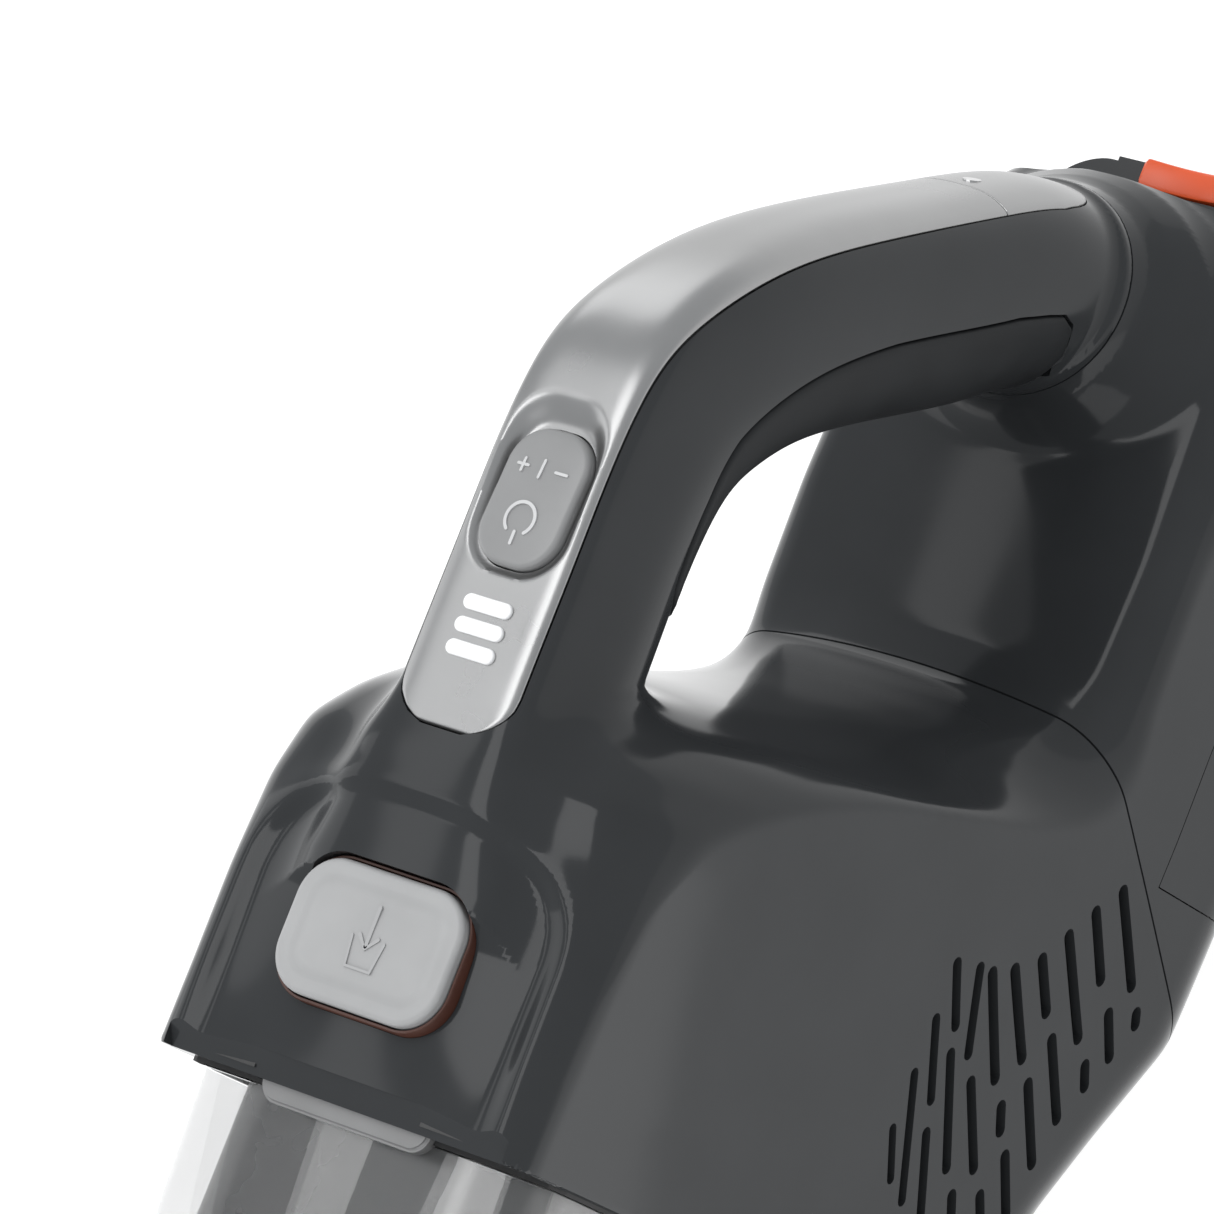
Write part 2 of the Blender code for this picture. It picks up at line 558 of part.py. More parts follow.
# ---------------------------------------------------------------- release button and catch
def make_empty_button(button_mat, trim_mat, catch_mat, steel_mat):
    size = (EMPTY_W, EMPTY_L)
    button = top_prism("empty_button", (0, EMPTY_Y), size, 0.0092, 0.2228, EMPTY_TOP_Z, button_mat, steps=5)
    boolean(button, cutter(top_prism, "button_dish", (0, EMPTY_Y), (EMPTY_W - 0.009, EMPTY_L - 0.009),
                           0.0060, EMPTY_TOP_Z - 0.0006, EMPTY_TOP_Z + 0.002))
    boolean(button, cutter(box, "button_stem", (-0.0040, EMPTY_Y - 0.0030, 0.2170),
                           (0.0040, EMPTY_Y + 0.0030, 0.2230)), "UNION")
    trim = top_prism("button_trim", (0, EMPTY_Y), (EMPTY_W + 0.0036, EMPTY_L + 0.0036), 0.0102,
                     0.2195, 0.2278, trim_mat, steps=5)
    boolean(trim, cutter(top_prism, "trim_hole", (0, EMPTY_Y), (EMPTY_W + 0.0010, EMPTY_L + 0.0010), 0.0096,
                         0.21, 0.24, steps=5))
    spring_coil("catch_spring", (0, -0.0200, 0.2060), 0.0028, 0.0004, 0.0077, 4, steel_mat)
    catch = side_prism("bowl_catch", [(-0.0612, 0.2151), (-0.0612, 0.2170), (-0.0600, 0.2176), (-0.0400, 0.2176),
                                      (-0.0380, 0.2166), (-0.0160, 0.2166), (-0.0160, 0.2140),
                                      (-0.0400, 0.2140), (-0.0420, 0.2105), (-0.0500, 0.2105),
                                      (-0.0520, 0.2151)], -0.0200, 0.0200, catch_mat)
    boolean(catch, cutter(cylinder, "catch_bore", (-0.03, CATCH_PIVOT_Y, CATCH_PIVOT_Z),
                          (0.03, CATCH_PIVOT_Y, CATCH_PIVOT_Z), 0.0016, sides=16))
    cylinder("catch_pin", (-0.0246, CATCH_PIVOT_Y, CATCH_PIVOT_Z), (0.0246, CATCH_PIVOT_Y, CATCH_PIVOT_Z),
             0.0012, steel_mat, sides=12)
    set_origin(button, (0, EMPTY_Y, EMPTY_TOP_Z))
    set_origin(catch, (0, CATCH_PIVOT_Y, CATCH_PIVOT_Z))


def spring_coil(name, base, radius, wire, height, turns, mat):
    """Compression spring about +Z, as a bevelled curve."""
    curve = bpy.data.curves.new(name, "CURVE")
    curve.dimensions = "3D"
    curve.bevel_depth = wire
    curve.bevel_resolution = 1
    curve.use_fill_caps = True
    per_turn = 10
    spline = curve.splines.new("POLY")
    spline.points.add(turns * per_turn)
    for k, point in enumerate(spline.points):
        a = 2 * math.pi * k / per_turn
        z = base[2] + wire + (height - 2 * wire) * k / (turns * per_turn)
        point.co = (base[0] + radius * math.cos(a), base[1] + radius * math.sin(a), z, 1)
    curve.materials.append(mat)
    obj = bpy.data.objects.new(name, curve)
    PARTS.objects.link(obj)
    return obj


# ---------------------------------------------------------------- dust bowl
def make_dust_bowl(mat):
    bowl = loft("dust_bowl", hull_rings(BOWL, NOSE_Y, BOWL_REAR_Y), mat)
    inner = hull_rings(BOWL, NOSE_Y + 0.0045, BOWL_REAR_Y + 0.004, BOWL_WALL, -0.0020)
    boolean(bowl, cutter(loft, "bowl_cavity", inner))
    boolean(bowl, cutter(face_prism, "mouth", (0, 0.0222), (0.0712, 0.0386), 0.0005, NOSE_Y - 0.01, NOSE_Y + 0.0100))
    knuckle = cutter(cylinder, "bowl_knuckle", (-0.0215, BOWL_HINGE_Y, BOWL_HINGE_Z),
                     (0.0215, BOWL_HINGE_Y, BOWL_HINGE_Z), 0.0050)
    web = cutter(side_prism, "bowl_web", [(-0.0600, 0.0240), (-0.0590, 0.0365), (-0.0700, 0.0340),
                                          (-0.0660, 0.0270)], -0.0215, 0.0215)
    boolean(knuckle, web, "UNION")
    boolean(knuckle, cutter(loft, "bowl_hollow_again", inner_copy(inner)))
    boolean(bowl, knuckle, "UNION")
    boolean(bowl, cutter(cylinder, "knuckle_bore", (-0.036, BOWL_HINGE_Y, BOWL_HINGE_Z),
                         (0.036, BOWL_HINGE_Y, BOWL_HINGE_Z), 0.0023, sides=16))
    set_origin(bowl, (0, BOWL_HINGE_Y, BOWL_HINGE_Z))


def inner_copy(rings):
    return [[point.copy() for point in ring] for ring in rings]


def make_bowl_fittings(mats):
    cylinder("bowl_hinge_pin", (-0.0310, BOWL_HINGE_Y, BOWL_HINGE_Z), (0.0310, BOWL_HINGE_Y, BOWL_HINGE_Z),
             0.0019, mats["steel"], sides=12)
    values = station(BOWL, BOWL_REAR_Y)
    ring = loft("bowl_gasket", [section(y, values, 0.0004) for y in (JOINT_Y - 0.0012, JOINT_Y - GAP)],
                mats["rubber"])
    boolean(ring, cutter(loft, "gasket_hole", [section(y, values, 0.0030) for y in (-0.0620, -0.0520)]))
    boolean(ring, cutter(box, "gasket_catch_notch", (-0.0210, -0.07, 0.2100), (0.0210, -0.05, 0.2300)))
    mouth_y, bend_y = NOSE_Y + GAP, NOSE_Y + 0.0060
    outer = [(mouth_y, 0.0033), (bend_y, 0.0034), (-0.1400, 0.0200), (-0.1400, 0.0620), (bend_y, 0.0411),
             (mouth_y, 0.0411)]
    inner = [(mouth_y - 0.010, 0.0053), (bend_y, 0.0054), (-0.1300, 0.0247), (-0.1300, 0.0634),
             (bend_y, 0.0391), (mouth_y - 0.010, 0.0391)]
    duct = side_prism("inlet_duct", outer, -0.0352, 0.0352, mats["black"])
    boolean(duct, cutter(side_prism, "duct_passage", inner, -0.0332, 0.0332))
    set_origin(duct, (0, BOWL_HINGE_Y, BOWL_HINGE_Z))
    outline = [(-0.0345, 0.0700), (0.0345, 0.0700), (0.0345, 0.0290), (0.0295, 0.0212), (-0.0295, 0.0212),
               (-0.0345, 0.0290)]
    flap = extrude_outline("inlet_flap", [(x, FLAP_HINGE_Y - 0.0004, z) for x, z in outline], (0, 0.0016, 0),
                           mats["rubber"])
    set_origin(flap, (0, FLAP_HINGE_Y, FLAP_HINGE_Z))


# ---------------------------------------------------------------- filter stack and motor
def make_filter_stack(mats):
    opening = station(HULL, -0.0530)
    plate = [section(y, opening, WALL + 0.0006) for y in (-0.0560, -0.0520)]
    frame = loft("filter_frame", plate, mats["black"])
    boolean(frame, cutter(face_prism, "frame_window", (0, 0.1350), (0.0640, 0.1200), 0.0100, -0.07, -0.04))
    boolean(frame, cutter(box, "frame_catch_notch", (-0.0210, -0.07, 0.2080), (0.0210, -0.04, 0.2300)))
    boolean(frame, cutter(box, "frame_hinge_notch", (-0.04, -0.07, 0.0200), (0.04, -0.04, 0.0400)))
    shroud = face_prism("filter_shroud", (0, 0.1365), (0.0748, 0.1390), 0.0140, -0.0900, -0.0563,
                        mats["filter"], steps=5)
    boolean(shroud, cutter(face_prism, "shroud_hollow", (0, 0.1365), (0.0700, 0.1342), 0.0116,
                           -0.0876, -0.0500, steps=5))
    for row in range(5):
        boolean(shroud, cutter(face_prism, f"shroud_slot_{row}", (0, 0.0925 + 0.0220 * row), (0.0520, 0.0080),
                               0.0039, -0.1000, -0.0850, steps=3))
    pleats = 13
    depth_front, depth_back = -0.0850, -0.0600
    front, back = [], []
    for k in range(pleats * 2 + 1):
        x = -0.0325 + 0.0650 * k / (pleats * 2)
        y = depth_front if k % 2 else depth_back
        front.append((x, y, 0.0770))
        back.append((x, y + 0.0012, 0.0770))
    extrude_outline("pleated_filter", front + back[::-1], (0, 0, 0.1180), mats["paper"])


def make_motor(mats):
    centre = (0, 0, MOTOR_Z)
    turned("fan_shroud", [(0.0130, -0.0440), (0.0390, -0.0400), (0.0410, -0.0370), (0.0410, -0.0110),
                          (0.0392, -0.0110), (0.0392, -0.0360), (0.0380, -0.0382), (0.0130, -0.0420)],
           centre, mats["black"])
    impeller = cylinder("impeller", (0, -0.0160, MOTOR_Z), (0, -0.0135, MOTOR_Z), 0.0365, mats["copper"], 32)
    hub = cutter(cylinder, "impeller_hub", (0, -0.0340, MOTOR_Z), (0, -0.0150, MOTOR_Z), 0.0060, sides=16)
    blades = 9
    for k in range(blades):
        a = 2 * math.pi * k / blades
        blade = cutter(box, f"blade_{k}", (0.0040, -0.0320, -0.0007), (0.0350, -0.0150, 0.0007))
        blade.rotation_euler = (0, a, 0)
        blade.location = (0, 0, MOTOR_Z)
        boolean(hub, blade, "UNION")
    boolean(impeller, hub, "UNION")
    boolean(impeller, cutter(cylinder, "hub_bore", (0, -0.05, MOTOR_Z), (0, 0.0, MOTOR_Z), 0.0028, sides=16))
    shaft = cylinder("motor_shaft", (0, -0.0350, MOTOR_Z), (0, 0.0060, MOTOR_Z), 0.0024, mats["steel"], sides=12)
    set_origin(impeller, centre)
    set_origin(shaft, centre)
    turned("motor_can", [(0.0035, -0.0080), (0.0300, -0.0080), (0.0310, -0.0070), (0.0310, 0.0330),
                         (0.0290, 0.0350), (0.0001, 0.0350), (0.0001, 0.0080), (0.0035, 0.0080)],
           centre, mats["steel"])
    turned("motor_mount", [(0.0314, 0.0180), (0.0400, 0.0180), (0.0400, 0.0280), (0.0314, 0.0280)], centre,
           mats["rubber"])


def make_exhaust_screen(mat):
    """Foam behind the vent slots, one pad along each flank."""
    for side, name in ((-1, "exhaust_screen_left"), (1, "exhaust_screen_right")):
        box(name, (side * 0.0435 - 0.0018, 0.0000, 0.0420), (side * 0.0435 + 0.0018, 0.0400, 0.1150), mat)


# ---------------------------------------------------------------- battery
def battery_outline():
    return [(BATTERY_FRONT_Y, -0.001), (BATTERY_FRONT_Y, BATTERY_TOP_Z), (BATTERY_BLOCK_Y, BATTERY_TOP_Z),
            (BATTERY_BLOCK_Y, BLOCK_TOP_Z), (0.1995, BLOCK_TOP_Z), (0.2012, 0.0450), (TAIL_Y, 0.0300),
            (TAIL_Y, 0.0040), (TAIL_Y - 0.004, -0.001)]


def make_battery(mats):
    case = loft("battery_case", hull_rings(HULL, BATTERY_FRONT_Y - 0.003, TAIL_Y), mats["housing"])
    boolean(case, cutter(side_prism, "battery_shape", battery_outline(), -0.08, 0.08), "INTERSECT")
    boolean(case, cutter(box, "cell_tray", (-0.0345, 0.0560, 0.0030), (0.0345, 0.1840, 0.0430)))
    boolean(case, cutter(box, "lid_seat", (-0.0365, 0.0540, 0.0426), (0.0365, 0.1860, 0.0500)))
    boolean(case, cutter(box, "contact_notch", (-0.0200, 0.0480, 0.0430), (0.0200, 0.0560, 0.0500)))
    boolean(case, cutter(box, "release_seat", (-0.0123, 0.1909, 0.0360), (0.0123, 0.1983, 0.0600)))
    for side in (-1, 1):
        boolean(case, cutter(box, f"beside_block_{side}", (side * 0.0390 - 0.0210, 0.1870, BATTERY_TOP_Z),
                             (side * 0.0390 + 0.0210, 0.2100, 0.0700)))
    lid = box("battery_lid", (-0.0362, 0.0543, 0.0429), (0.0362, 0.1857, 0.0458), mats["black"])
    boolean(lid, cutter(box, "contact_slot", (-0.0200, 0.0500, 0.0400), (0.0200, 0.0760, 0.0500)))
    for k in range(5):
        y = 0.0700 + 0.0205 * k
        cylinder(f"battery_cell_{k + 1}", (-0.0325, y, 0.0190), (0.0325, y, 0.0190), 0.0092, mats["cell"],
                 sides=16)
    block = box("terminal_block", (-0.0245, 0.0615, 0.0475), (0.0245, 0.0765, 0.0545), mats["black"])
    for x in (-0.012, 0.0, 0.012):
        boolean(block, cutter(box, f"blade_{x}", (x - 0.0005, 0.0650, 0.0440), (x + 0.0005, 0.0740, 0.0480)),
                "UNION")
    release = box("battery_release", (-0.0120, 0.1912, 0.0400), (0.0120, 0.1980, BLOCK_TOP_Z + 0.0006),
                  mats["orange"])
    bevel = release.modifiers.new("round", "BEVEL")
    bevel.width, bevel.segments = 0.0012, 2
    set_origin(release, (0, 0.1946, BLOCK_TOP_Z))
    set_origin(case, (0, BATTERY_FRONT_Y, BATTERY_TOP_Z))
    set_origin(lid, (0, BATTERY_FRONT_Y, BATTERY_TOP_Z))


def main():
    clear_scene()
    make_collections()
    mats = make_materials()
    make_main_housing(mats["housing"])
    make_rear_housing(mats["housing"])
    grip_seat_solid("grip_insert", 0.0, mats["grip"])
    make_power_panel(mats["silver"])
    make_end_cap(mats["silver"], mats["steel"])
    make_power_button(mats["power"])
    make_charge_lights(mats["light"])
    make_board(mats["board"], mats["black"])
    make_empty_button(mats["button"], mats["trim"], mats["filter"], mats["steel"])
    make_dust_bowl(mats["clear"])
    make_bowl_fittings(mats)
    make_filter_stack(mats)
    make_motor(mats)
    make_exhaust_screen(mats["black"])
    make_battery(mats)


main()
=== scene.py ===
"""Looks of the cordless handheld vacuum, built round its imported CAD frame. Metres, +Z up, nozzle to -Y."""

import math

import bmesh
import bpy
import numpy as np
from mathutils import Matrix, Vector


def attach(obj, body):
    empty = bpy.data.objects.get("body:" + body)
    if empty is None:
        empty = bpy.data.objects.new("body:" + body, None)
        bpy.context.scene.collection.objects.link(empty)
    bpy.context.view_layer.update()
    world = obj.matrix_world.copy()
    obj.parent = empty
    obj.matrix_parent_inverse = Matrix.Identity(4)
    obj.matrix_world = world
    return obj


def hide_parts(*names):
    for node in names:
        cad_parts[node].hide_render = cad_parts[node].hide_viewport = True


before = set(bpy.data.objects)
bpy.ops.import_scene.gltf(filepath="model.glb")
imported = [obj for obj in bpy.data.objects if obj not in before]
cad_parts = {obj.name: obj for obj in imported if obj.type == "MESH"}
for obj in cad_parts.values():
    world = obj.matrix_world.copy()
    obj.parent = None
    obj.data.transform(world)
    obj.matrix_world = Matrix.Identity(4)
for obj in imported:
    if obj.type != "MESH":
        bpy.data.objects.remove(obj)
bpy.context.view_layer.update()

# ---------------------------------------------------------------- dimensions
CELL = 0.00125          # grid pitch of the housings' surface
SEAM_Y, SEAM_Z, SEAM_SLOPE = 0.0740, 0.0870, 1.5
SEAM_GAP = 0.00050
HANDLE_END_Z = 0.0990   # where the seam turns level behind the handle
WALL = 0.0028
BOWL_WALL = 0.0024
RIM_Y = -0.0575         # the hood's lip
BOWL_FRONT, BOWL_BACK = -0.2020, -0.0586
HINGE_Y, HINGE_Z = -0.0580, 0.0255
BUTTON_TOP = 0.2290     # the EMPTY button's rim
STRUT_Z = 0.2322        # the silver cover round the charge lights
EMPTY_Y, EMPTY_W, EMPTY_L = -0.0264, 0.0412, 0.0279
POWER_Y, POWER_W, POWER_L = 0.0648, 0.0196, 0.0290

# y, top, crown, half width, underside, top corner radius, lower corner radius
HULL = np.array([
    (-0.0570, 0.2230, 0.0010, 0.0475, 0.0335, 0.008, 0.026),
    (-0.0400, 0.2262, 0.0034, 0.0475, 0.0280, 0.008, 0.028),
    (-0.0200, 0.2278, 0.0047, 0.0480, 0.0225, 0.008, 0.028),
    (0.0000, 0.2284, 0.0054, 0.0485, 0.0120, 0.010, 0.028),
    (0.0140, 0.2265, 0.0054, 0.0490, 0.0040, 0.016, 0.028),
    (0.0240, 0.2200, 0.0075, 0.0495, 0.0000, 0.022, 0.026),
    (0.0330, 0.2085, 0.0094, 0.0500, 0.0000, 0.028, 0.026),
    (0.0400, 0.1930, 0.0119, 0.0503, 0.0000, 0.032, 0.026),
    (0.0450, 0.1740, 0.0146, 0.0505, 0.0000, 0.034, 0.026),
    (0.0500, 0.1520, 0.0149, 0.0507, 0.0000, 0.034, 0.026),
    (0.0550, 0.1340, 0.0140, 0.0508, 0.0000, 0.031, 0.026),
    (0.0610, 0.1160, 0.0110, 0.0510, 0.0000, 0.026, 0.026),
    (0.0670, 0.1020, 0.0080, 0.0510, 0.0000, 0.019, 0.026),
    (0.0740, 0.0905, 0.0048, 0.0510, 0.0000, 0.013, 0.026),
    (0.0850, 0.0865, 0.0023, 0.0510, 0.0000, 0.011, 0.026),
    (0.1100, 0.0860, 0.0020, 0.0510, 0.0000, 0.010, 0.026),
    (0.1450, 0.0860, 0.0024, 0.0505, 0.0000, 0.011, 0.026),
    (0.1700, 0.0850, 0.0032, 0.0485, 0.0000, 0.012, 0.026),
    (0.1820, 0.0810, 0.0050, 0.0455, 0.0000, 0.014, 0.026),
    (0.1900, 0.0770, 0.0068, 0.0420, 0.0000, 0.016, 0.026),
    (0.1970, 0.0750, 0.0076, 0.0370, 0.0000, 0.016, 0.024),
    (0.2020, 0.0740, 0.0076, 0.0310, 0.0000, 0.016, 0.022),
])
BOWL = np.array([
    (-0.2020, 0.0460, 0.0040, 0.0395, 0.0000, 0.009, 0.006),
    (-0.1860, 0.0870, 0.0060, 0.0410, 0.0015, 0.012, 0.010),
    (-0.1650, 0.1370, 0.0060, 0.0430, 0.0060, 0.014, 0.016),
    (-0.1430, 0.1750, 0.0050, 0.0450, 0.0130, 0.014, 0.020),
    (-0.1190, 0.2010, 0.0040, 0.0465, 0.0200, 0.012, 0.022),
    (-0.0950, 0.2130, 0.0030, 0.0470, 0.0265, 0.010, 0.024),
    (-0.0586, 0.2148, 0.0025, 0.0470, 0.0345, 0.010, 0.024),
])
# outer y, z, inner y, z, half width, lower squareness, upper squareness, share of the width left at the crest
HANDLE = np.array([
    (-0.0120, 0.2262, -0.0120, 0.1980, 0.0250, 3.0, 6.0, 0.80),
    (0.0020, 0.2296, 0.0020, 0.1950, 0.0222, 3.0, 6.5, 0.80),
    (0.0200, 0.2314, 0.0260, 0.1935, 0.0206, 3.0, 7.0, 0.81),
    (0.0520, 0.2316, 0.0540, 0.1935, 0.0198, 3.0, 7.0, 0.83),
    (0.0700, 0.2318, 0.0640, 0.1935, 0.0196, 3.0, 7.0, 0.83),
    (0.0930, 0.2304, 0.0780, 0.1910, 0.0196, 2.9, 5.5, 0.84),
    (0.1120, 0.2212, 0.0890, 0.1835, 0.0196, 2.8, 4.2, 0.85),
    (0.1320, 0.2000, 0.0990, 0.1710, 0.0198, 2.6, 3.4, 0.88),
    (0.1500, 0.1700, 0.1105, 0.1500, 0.0203, 2.4, 3.0, 0.90),
    (0.1650, 0.1400, 0.1230, 0.1250, 0.0214, 2.3, 2.8, 0.93),
    (0.1763, 0.1160, 0.1320, 0.1090, 0.0221, 2.2, 2.4, 0.96),
    (0.1800, 0.0960, 0.1360, 0.0940, 0.0227, 2.1, 2.2, 0.98),
    (0.1802, 0.0760, 0.1368, 0.0760, 0.0228, 2.1, 2.1, 1.00),
])


# ---------------------------------------------------------------- smooth curves through tables
class Table:
    """Columns of a table as smooth functions of its first column."""

    def __init__(self, rows, sigma=0.0022, step=0.0005):
        y = np.arange(rows[0, 0] - 0.03, rows[-1, 0] + 0.03, step)
        self.start, self.step = y[0], step
        reach = int(4 * sigma / step)
        kernel = np.exp(-0.5 * (np.arange(-reach, reach + 1) * step / sigma) ** 2)
        kernel /= kernel.sum()
        self.columns = []
        for k in range(1, rows.shape[1]):
            v = np.interp(y, rows[:, 0], rows[:, k])
            first = (rows[1, k] - rows[0, k]) / (rows[1, 0] - rows[0, 0])
            last = (rows[-1, k] - rows[-2, k]) / (rows[-1, 0] - rows[-2, 0])
            v = np.where(y < rows[0, 0], rows[0, k] + first * (y - rows[0, 0]), v)
            v = np.where(y > rows[-1, 0], rows[-1, k] + last * (y - rows[-1, 0]), v)
            padded = np.concatenate([v[0] - (v[1] - v[0]) * np.arange(reach, 0, -1), v,
                                     v[-1] + (v[-1] - v[-2]) * np.arange(1, reach + 1)])
            self.columns.append(np.convolve(padded, kernel, "valid"))

    def __call__(self, y):
        s = np.clip((y - self.start) / self.step, 1, len(self.columns[0]) - 3)
        i = np.floor(s).astype(int)
        f = s - i
        a = (-f + 2 * f ** 2 - f ** 3) / 2
        b = (2 - 5 * f ** 2 + 3 * f ** 3) / 2
        c = (f + 4 * f ** 2 - 3 * f ** 3) / 2
        d = (f ** 3 - f ** 2) / 2
        return [a * v[i - 1] + b * v[i] + c * v[i + 1] + d * v[i + 2] for v in self.columns]


class Spline:
    """Natural cubic curve through evenly numbered rows."""

    def __init__(self, rows):
        n = len(rows)
        m = np.eye(n)
        rhs = np.zeros_like(rows)
        for i in range(1, n - 1):
            m[i, i - 1:i + 2] = (1, 4, 1)
            rhs[i] = 6 * (rows[i + 1] - 2 * rows[i] + rows[i - 1])
        self.rows, self.bend = rows, np.linalg.solve(m, rhs)

    def __call__(self, u):
        i = np.clip(np.floor(u).astype(int), 0, len(self.rows) - 2)
        t = (u - i)[..., None]
        a, b = self.rows[i], self.rows[i + 1]
        p, q = self.bend[i], self.bend[i + 1]
        s = 1 - t
        return a * s + b * t + ((s ** 3 - s) * p + (t ** 3 - t) * q) / 6


hull_at = Table(HULL)
bowl_at = Table(BOWL, 0.0040)
handle_at = Spline(HANDLE)
LAST_U = len(HANDLE) - 1


# ---------------------------------------------------------------- fields, negative inside
def smooth_step(t):
    t = np.clip(t, 0, 1)
    return t * t * (3 - 2 * t)


def smooth_min(a, b, k):
    h = np.clip(0.5 + 0.5 * (b - a) / k, 0, 1)
    return b + (a - b) * h - k * h * (1 - h)


def smooth_max(a, b, k):
    return -smooth_min(-a, -b, k)


def corner(qx, qz, r):
    """Distance to a corner of radius r, from the distances past its centre."""
    return np.minimum(np.maximum(qx, qz), 0) + np.hypot(np.maximum(qx, 0), np.maximum(qz, 0)) - r


def section(x, z, values, lift):
    """Field of a section with a crowned top and round corners."""
    top, crown, half, bottom, r_top, r_low = values
    xa = np.abs(x)
    u = np.minimum(xa, half) / (0.75 * half)
    roof = top - crown * u ** 2 + lift
    above = corner(xa - (half - r_top), z - (roof - r_top), r_top)
    below = corner(xa - (half - r_low), (bottom + r_low) - z, r_low)
    return smooth_max(above, below, 0.0008)


def hood(x, y):
    """Rise of the hood's arch, and the scooped field in front of it."""
    px = np.abs(x) / 0.0415
    py = np.maximum(y + 0.0220, 0) / 0.0266
    away = ((px ** 2.6 + py ** 2.6) ** (1 / 2.6) - 1) * 0.0340
    scoop = smooth_step(-away / 0.0060) * 0.0024
    ridge = np.exp(-(away / 0.0040) ** 2) * 0.0006
    fade = smooth_step((y + 0.0750) / 0.0400)
    return (ridge - scoop) * fade + 0.0006 * fade


def hull(x, y, z):
    body = section(x, z, hull_at(y), hood(x, y))
    lean = (y - 0.2020) + (z - 0.0250) * 0.045
    return smooth_max(body, lean, 0.0060)


def station_of(y, z):
    """Number of the handle's cross section through a point, and its place across it."""
    y, z = np.broadcast_arrays(y, z)
    shape = y.shape
    y, z = y.ravel(), z.ravel()
    i = np.clip(((y - GUIDE_Y[0]) / GUIDE_STEP).astype(int), 0, len(GUIDE_Y) - 1)
    j = np.clip(((z - GUIDE_Z[0]) / GUIDE_STEP).astype(int), 0, len(GUIDE_Z) - 1)
    u = GUIDE[i, j]
    for _ in range(4):
        cross, _, _ = across(u, y, z)
        ahead, _, _ = across(np.clip(u + 0.01, 0, LAST_U), y, z)
        slope = (ahead - cross) / 0.01
        slope = np.where(np.abs(slope) < 1e-4, np.where(slope < 0, -1e-4, 1e-4), slope)
        u = np.clip(u - np.clip(cross / slope, -0.4, 0.4), 0, LAST_U - 0.001)
    cross, n, reach = across(u, y, z)
    return u.reshape(shape), n.reshape(shape), reach.reshape(shape), cross.reshape(shape)


def across(u, y, z):
    """Distance off section u, height across it from -1 to 1, and its half depth."""
    v = handle_at(u)
    oy, oz, iy, iz = v[..., 0], v[..., 1], v[..., 2], v[..., 3]
    dy, dz = oy - iy, oz - iz
    length = np.hypot(dy, dz)
    my, mz = y - (oy + iy) / 2, z - (oz + iz) / 2
    return (my * dz - mz * dy) / length, (my * dy + mz * dz) / length / (length / 2), length / 2


def make_guide():
    """First guess of station_of on a coarse grid."""
    ys, zs = np.arange(-0.03, 0.21, 0.0015), np.arange(0.06, 0.25, 0.0015)
    samples = np.linspace(0, LAST_U, 241)
    yy, zz = (a.ravel() for a in np.meshgrid(ys, zs, indexing="ij"))
    best, found = np.full(yy.shape, 1e9), np.zeros(yy.shape)
    for u in samples:
        cross, n, reach = across(np.full(yy.shape, u), yy, zz)
        cost = np.abs(cross) + np.maximum(np.abs(n) - 1.4, 0) * reach
        better = cost < best
        best[better], found[better] = cost[better], u
    return ys, zs, found.reshape(len(ys), len(zs))


GUIDE_STEP = 0.0015
GUIDE_Y, GUIDE_Z, GUIDE = make_guide()


def girth(u, n):
    """Half width and squareness of the handle's section at a height across it."""
    v = handle_at(u)
    rise = smooth_step((n + 0.15) / 1.15)
    half = v[..., 4] * (1 - (1 - v[..., 7]) * rise)
    power = v[..., 5] + (v[..., 6] - v[..., 5]) * smooth_step((n + 0.3) / 0.6)
    return half, power


def handle(x, y, z):
    u, n, reach, cross = station_of(y, z)
    half, power = girth(u, n)
    a, b = (np.abs(x) / half) ** power, np.abs(n) ** power
    size = (a * half + b * reach) / (a + b + 1e-12)
    side = ((a + b) ** (1 / power) - 1) * size
    beyond = np.where((u <= 0.0001) | (u >= LAST_U - 0.002), np.abs(cross), -1.0)
    return np.maximum(side, beyond)


def boss(x, y, z):
    """Collar that the grip's end stands in, flaring into the tail."""
    levels = (0.0700, 0.0800, 0.0860, 0.0910, 0.0950, 0.0990, 0.1050)
    hx = np.interp(z, levels, (0.0400, 0.0392, 0.0365, 0.0310, 0.0264, 0.0235, 0.0230))
    hy = np.interp(z, levels, (0.0330, 0.0325, 0.0305, 0.0275, 0.0245, 0.0225, 0.0222))
    q = np.hypot(x / hx, (y - 0.1580) / hy)
    return smooth_max((q - 1) * (hx + hy) / 2, np.maximum(z - 0.0995, 0.0700 - z), 0.0010)


def body(x, y, z):
    """Both housings and the battery as one solid."""
    near = smooth_min(hull(x, y, z), handle(x, y, z), 0.0020 + 0.0110 * smooth_step((0.100 - y) / 0.05))
    return smooth_max(smooth_min(near, boss(x, y, z), 0.0060), RIM_Y - y, 0.0006)


def gradient(field, p, h=0.0003):
    g = np.empty_like(p)
    for k in range(3):
        step = np.zeros(3)
        step[k] = h
        a, b = p + step, p - step
        g[:, k] = (field(*a.T) - field(*b.T)) / (2 * h)
    return g


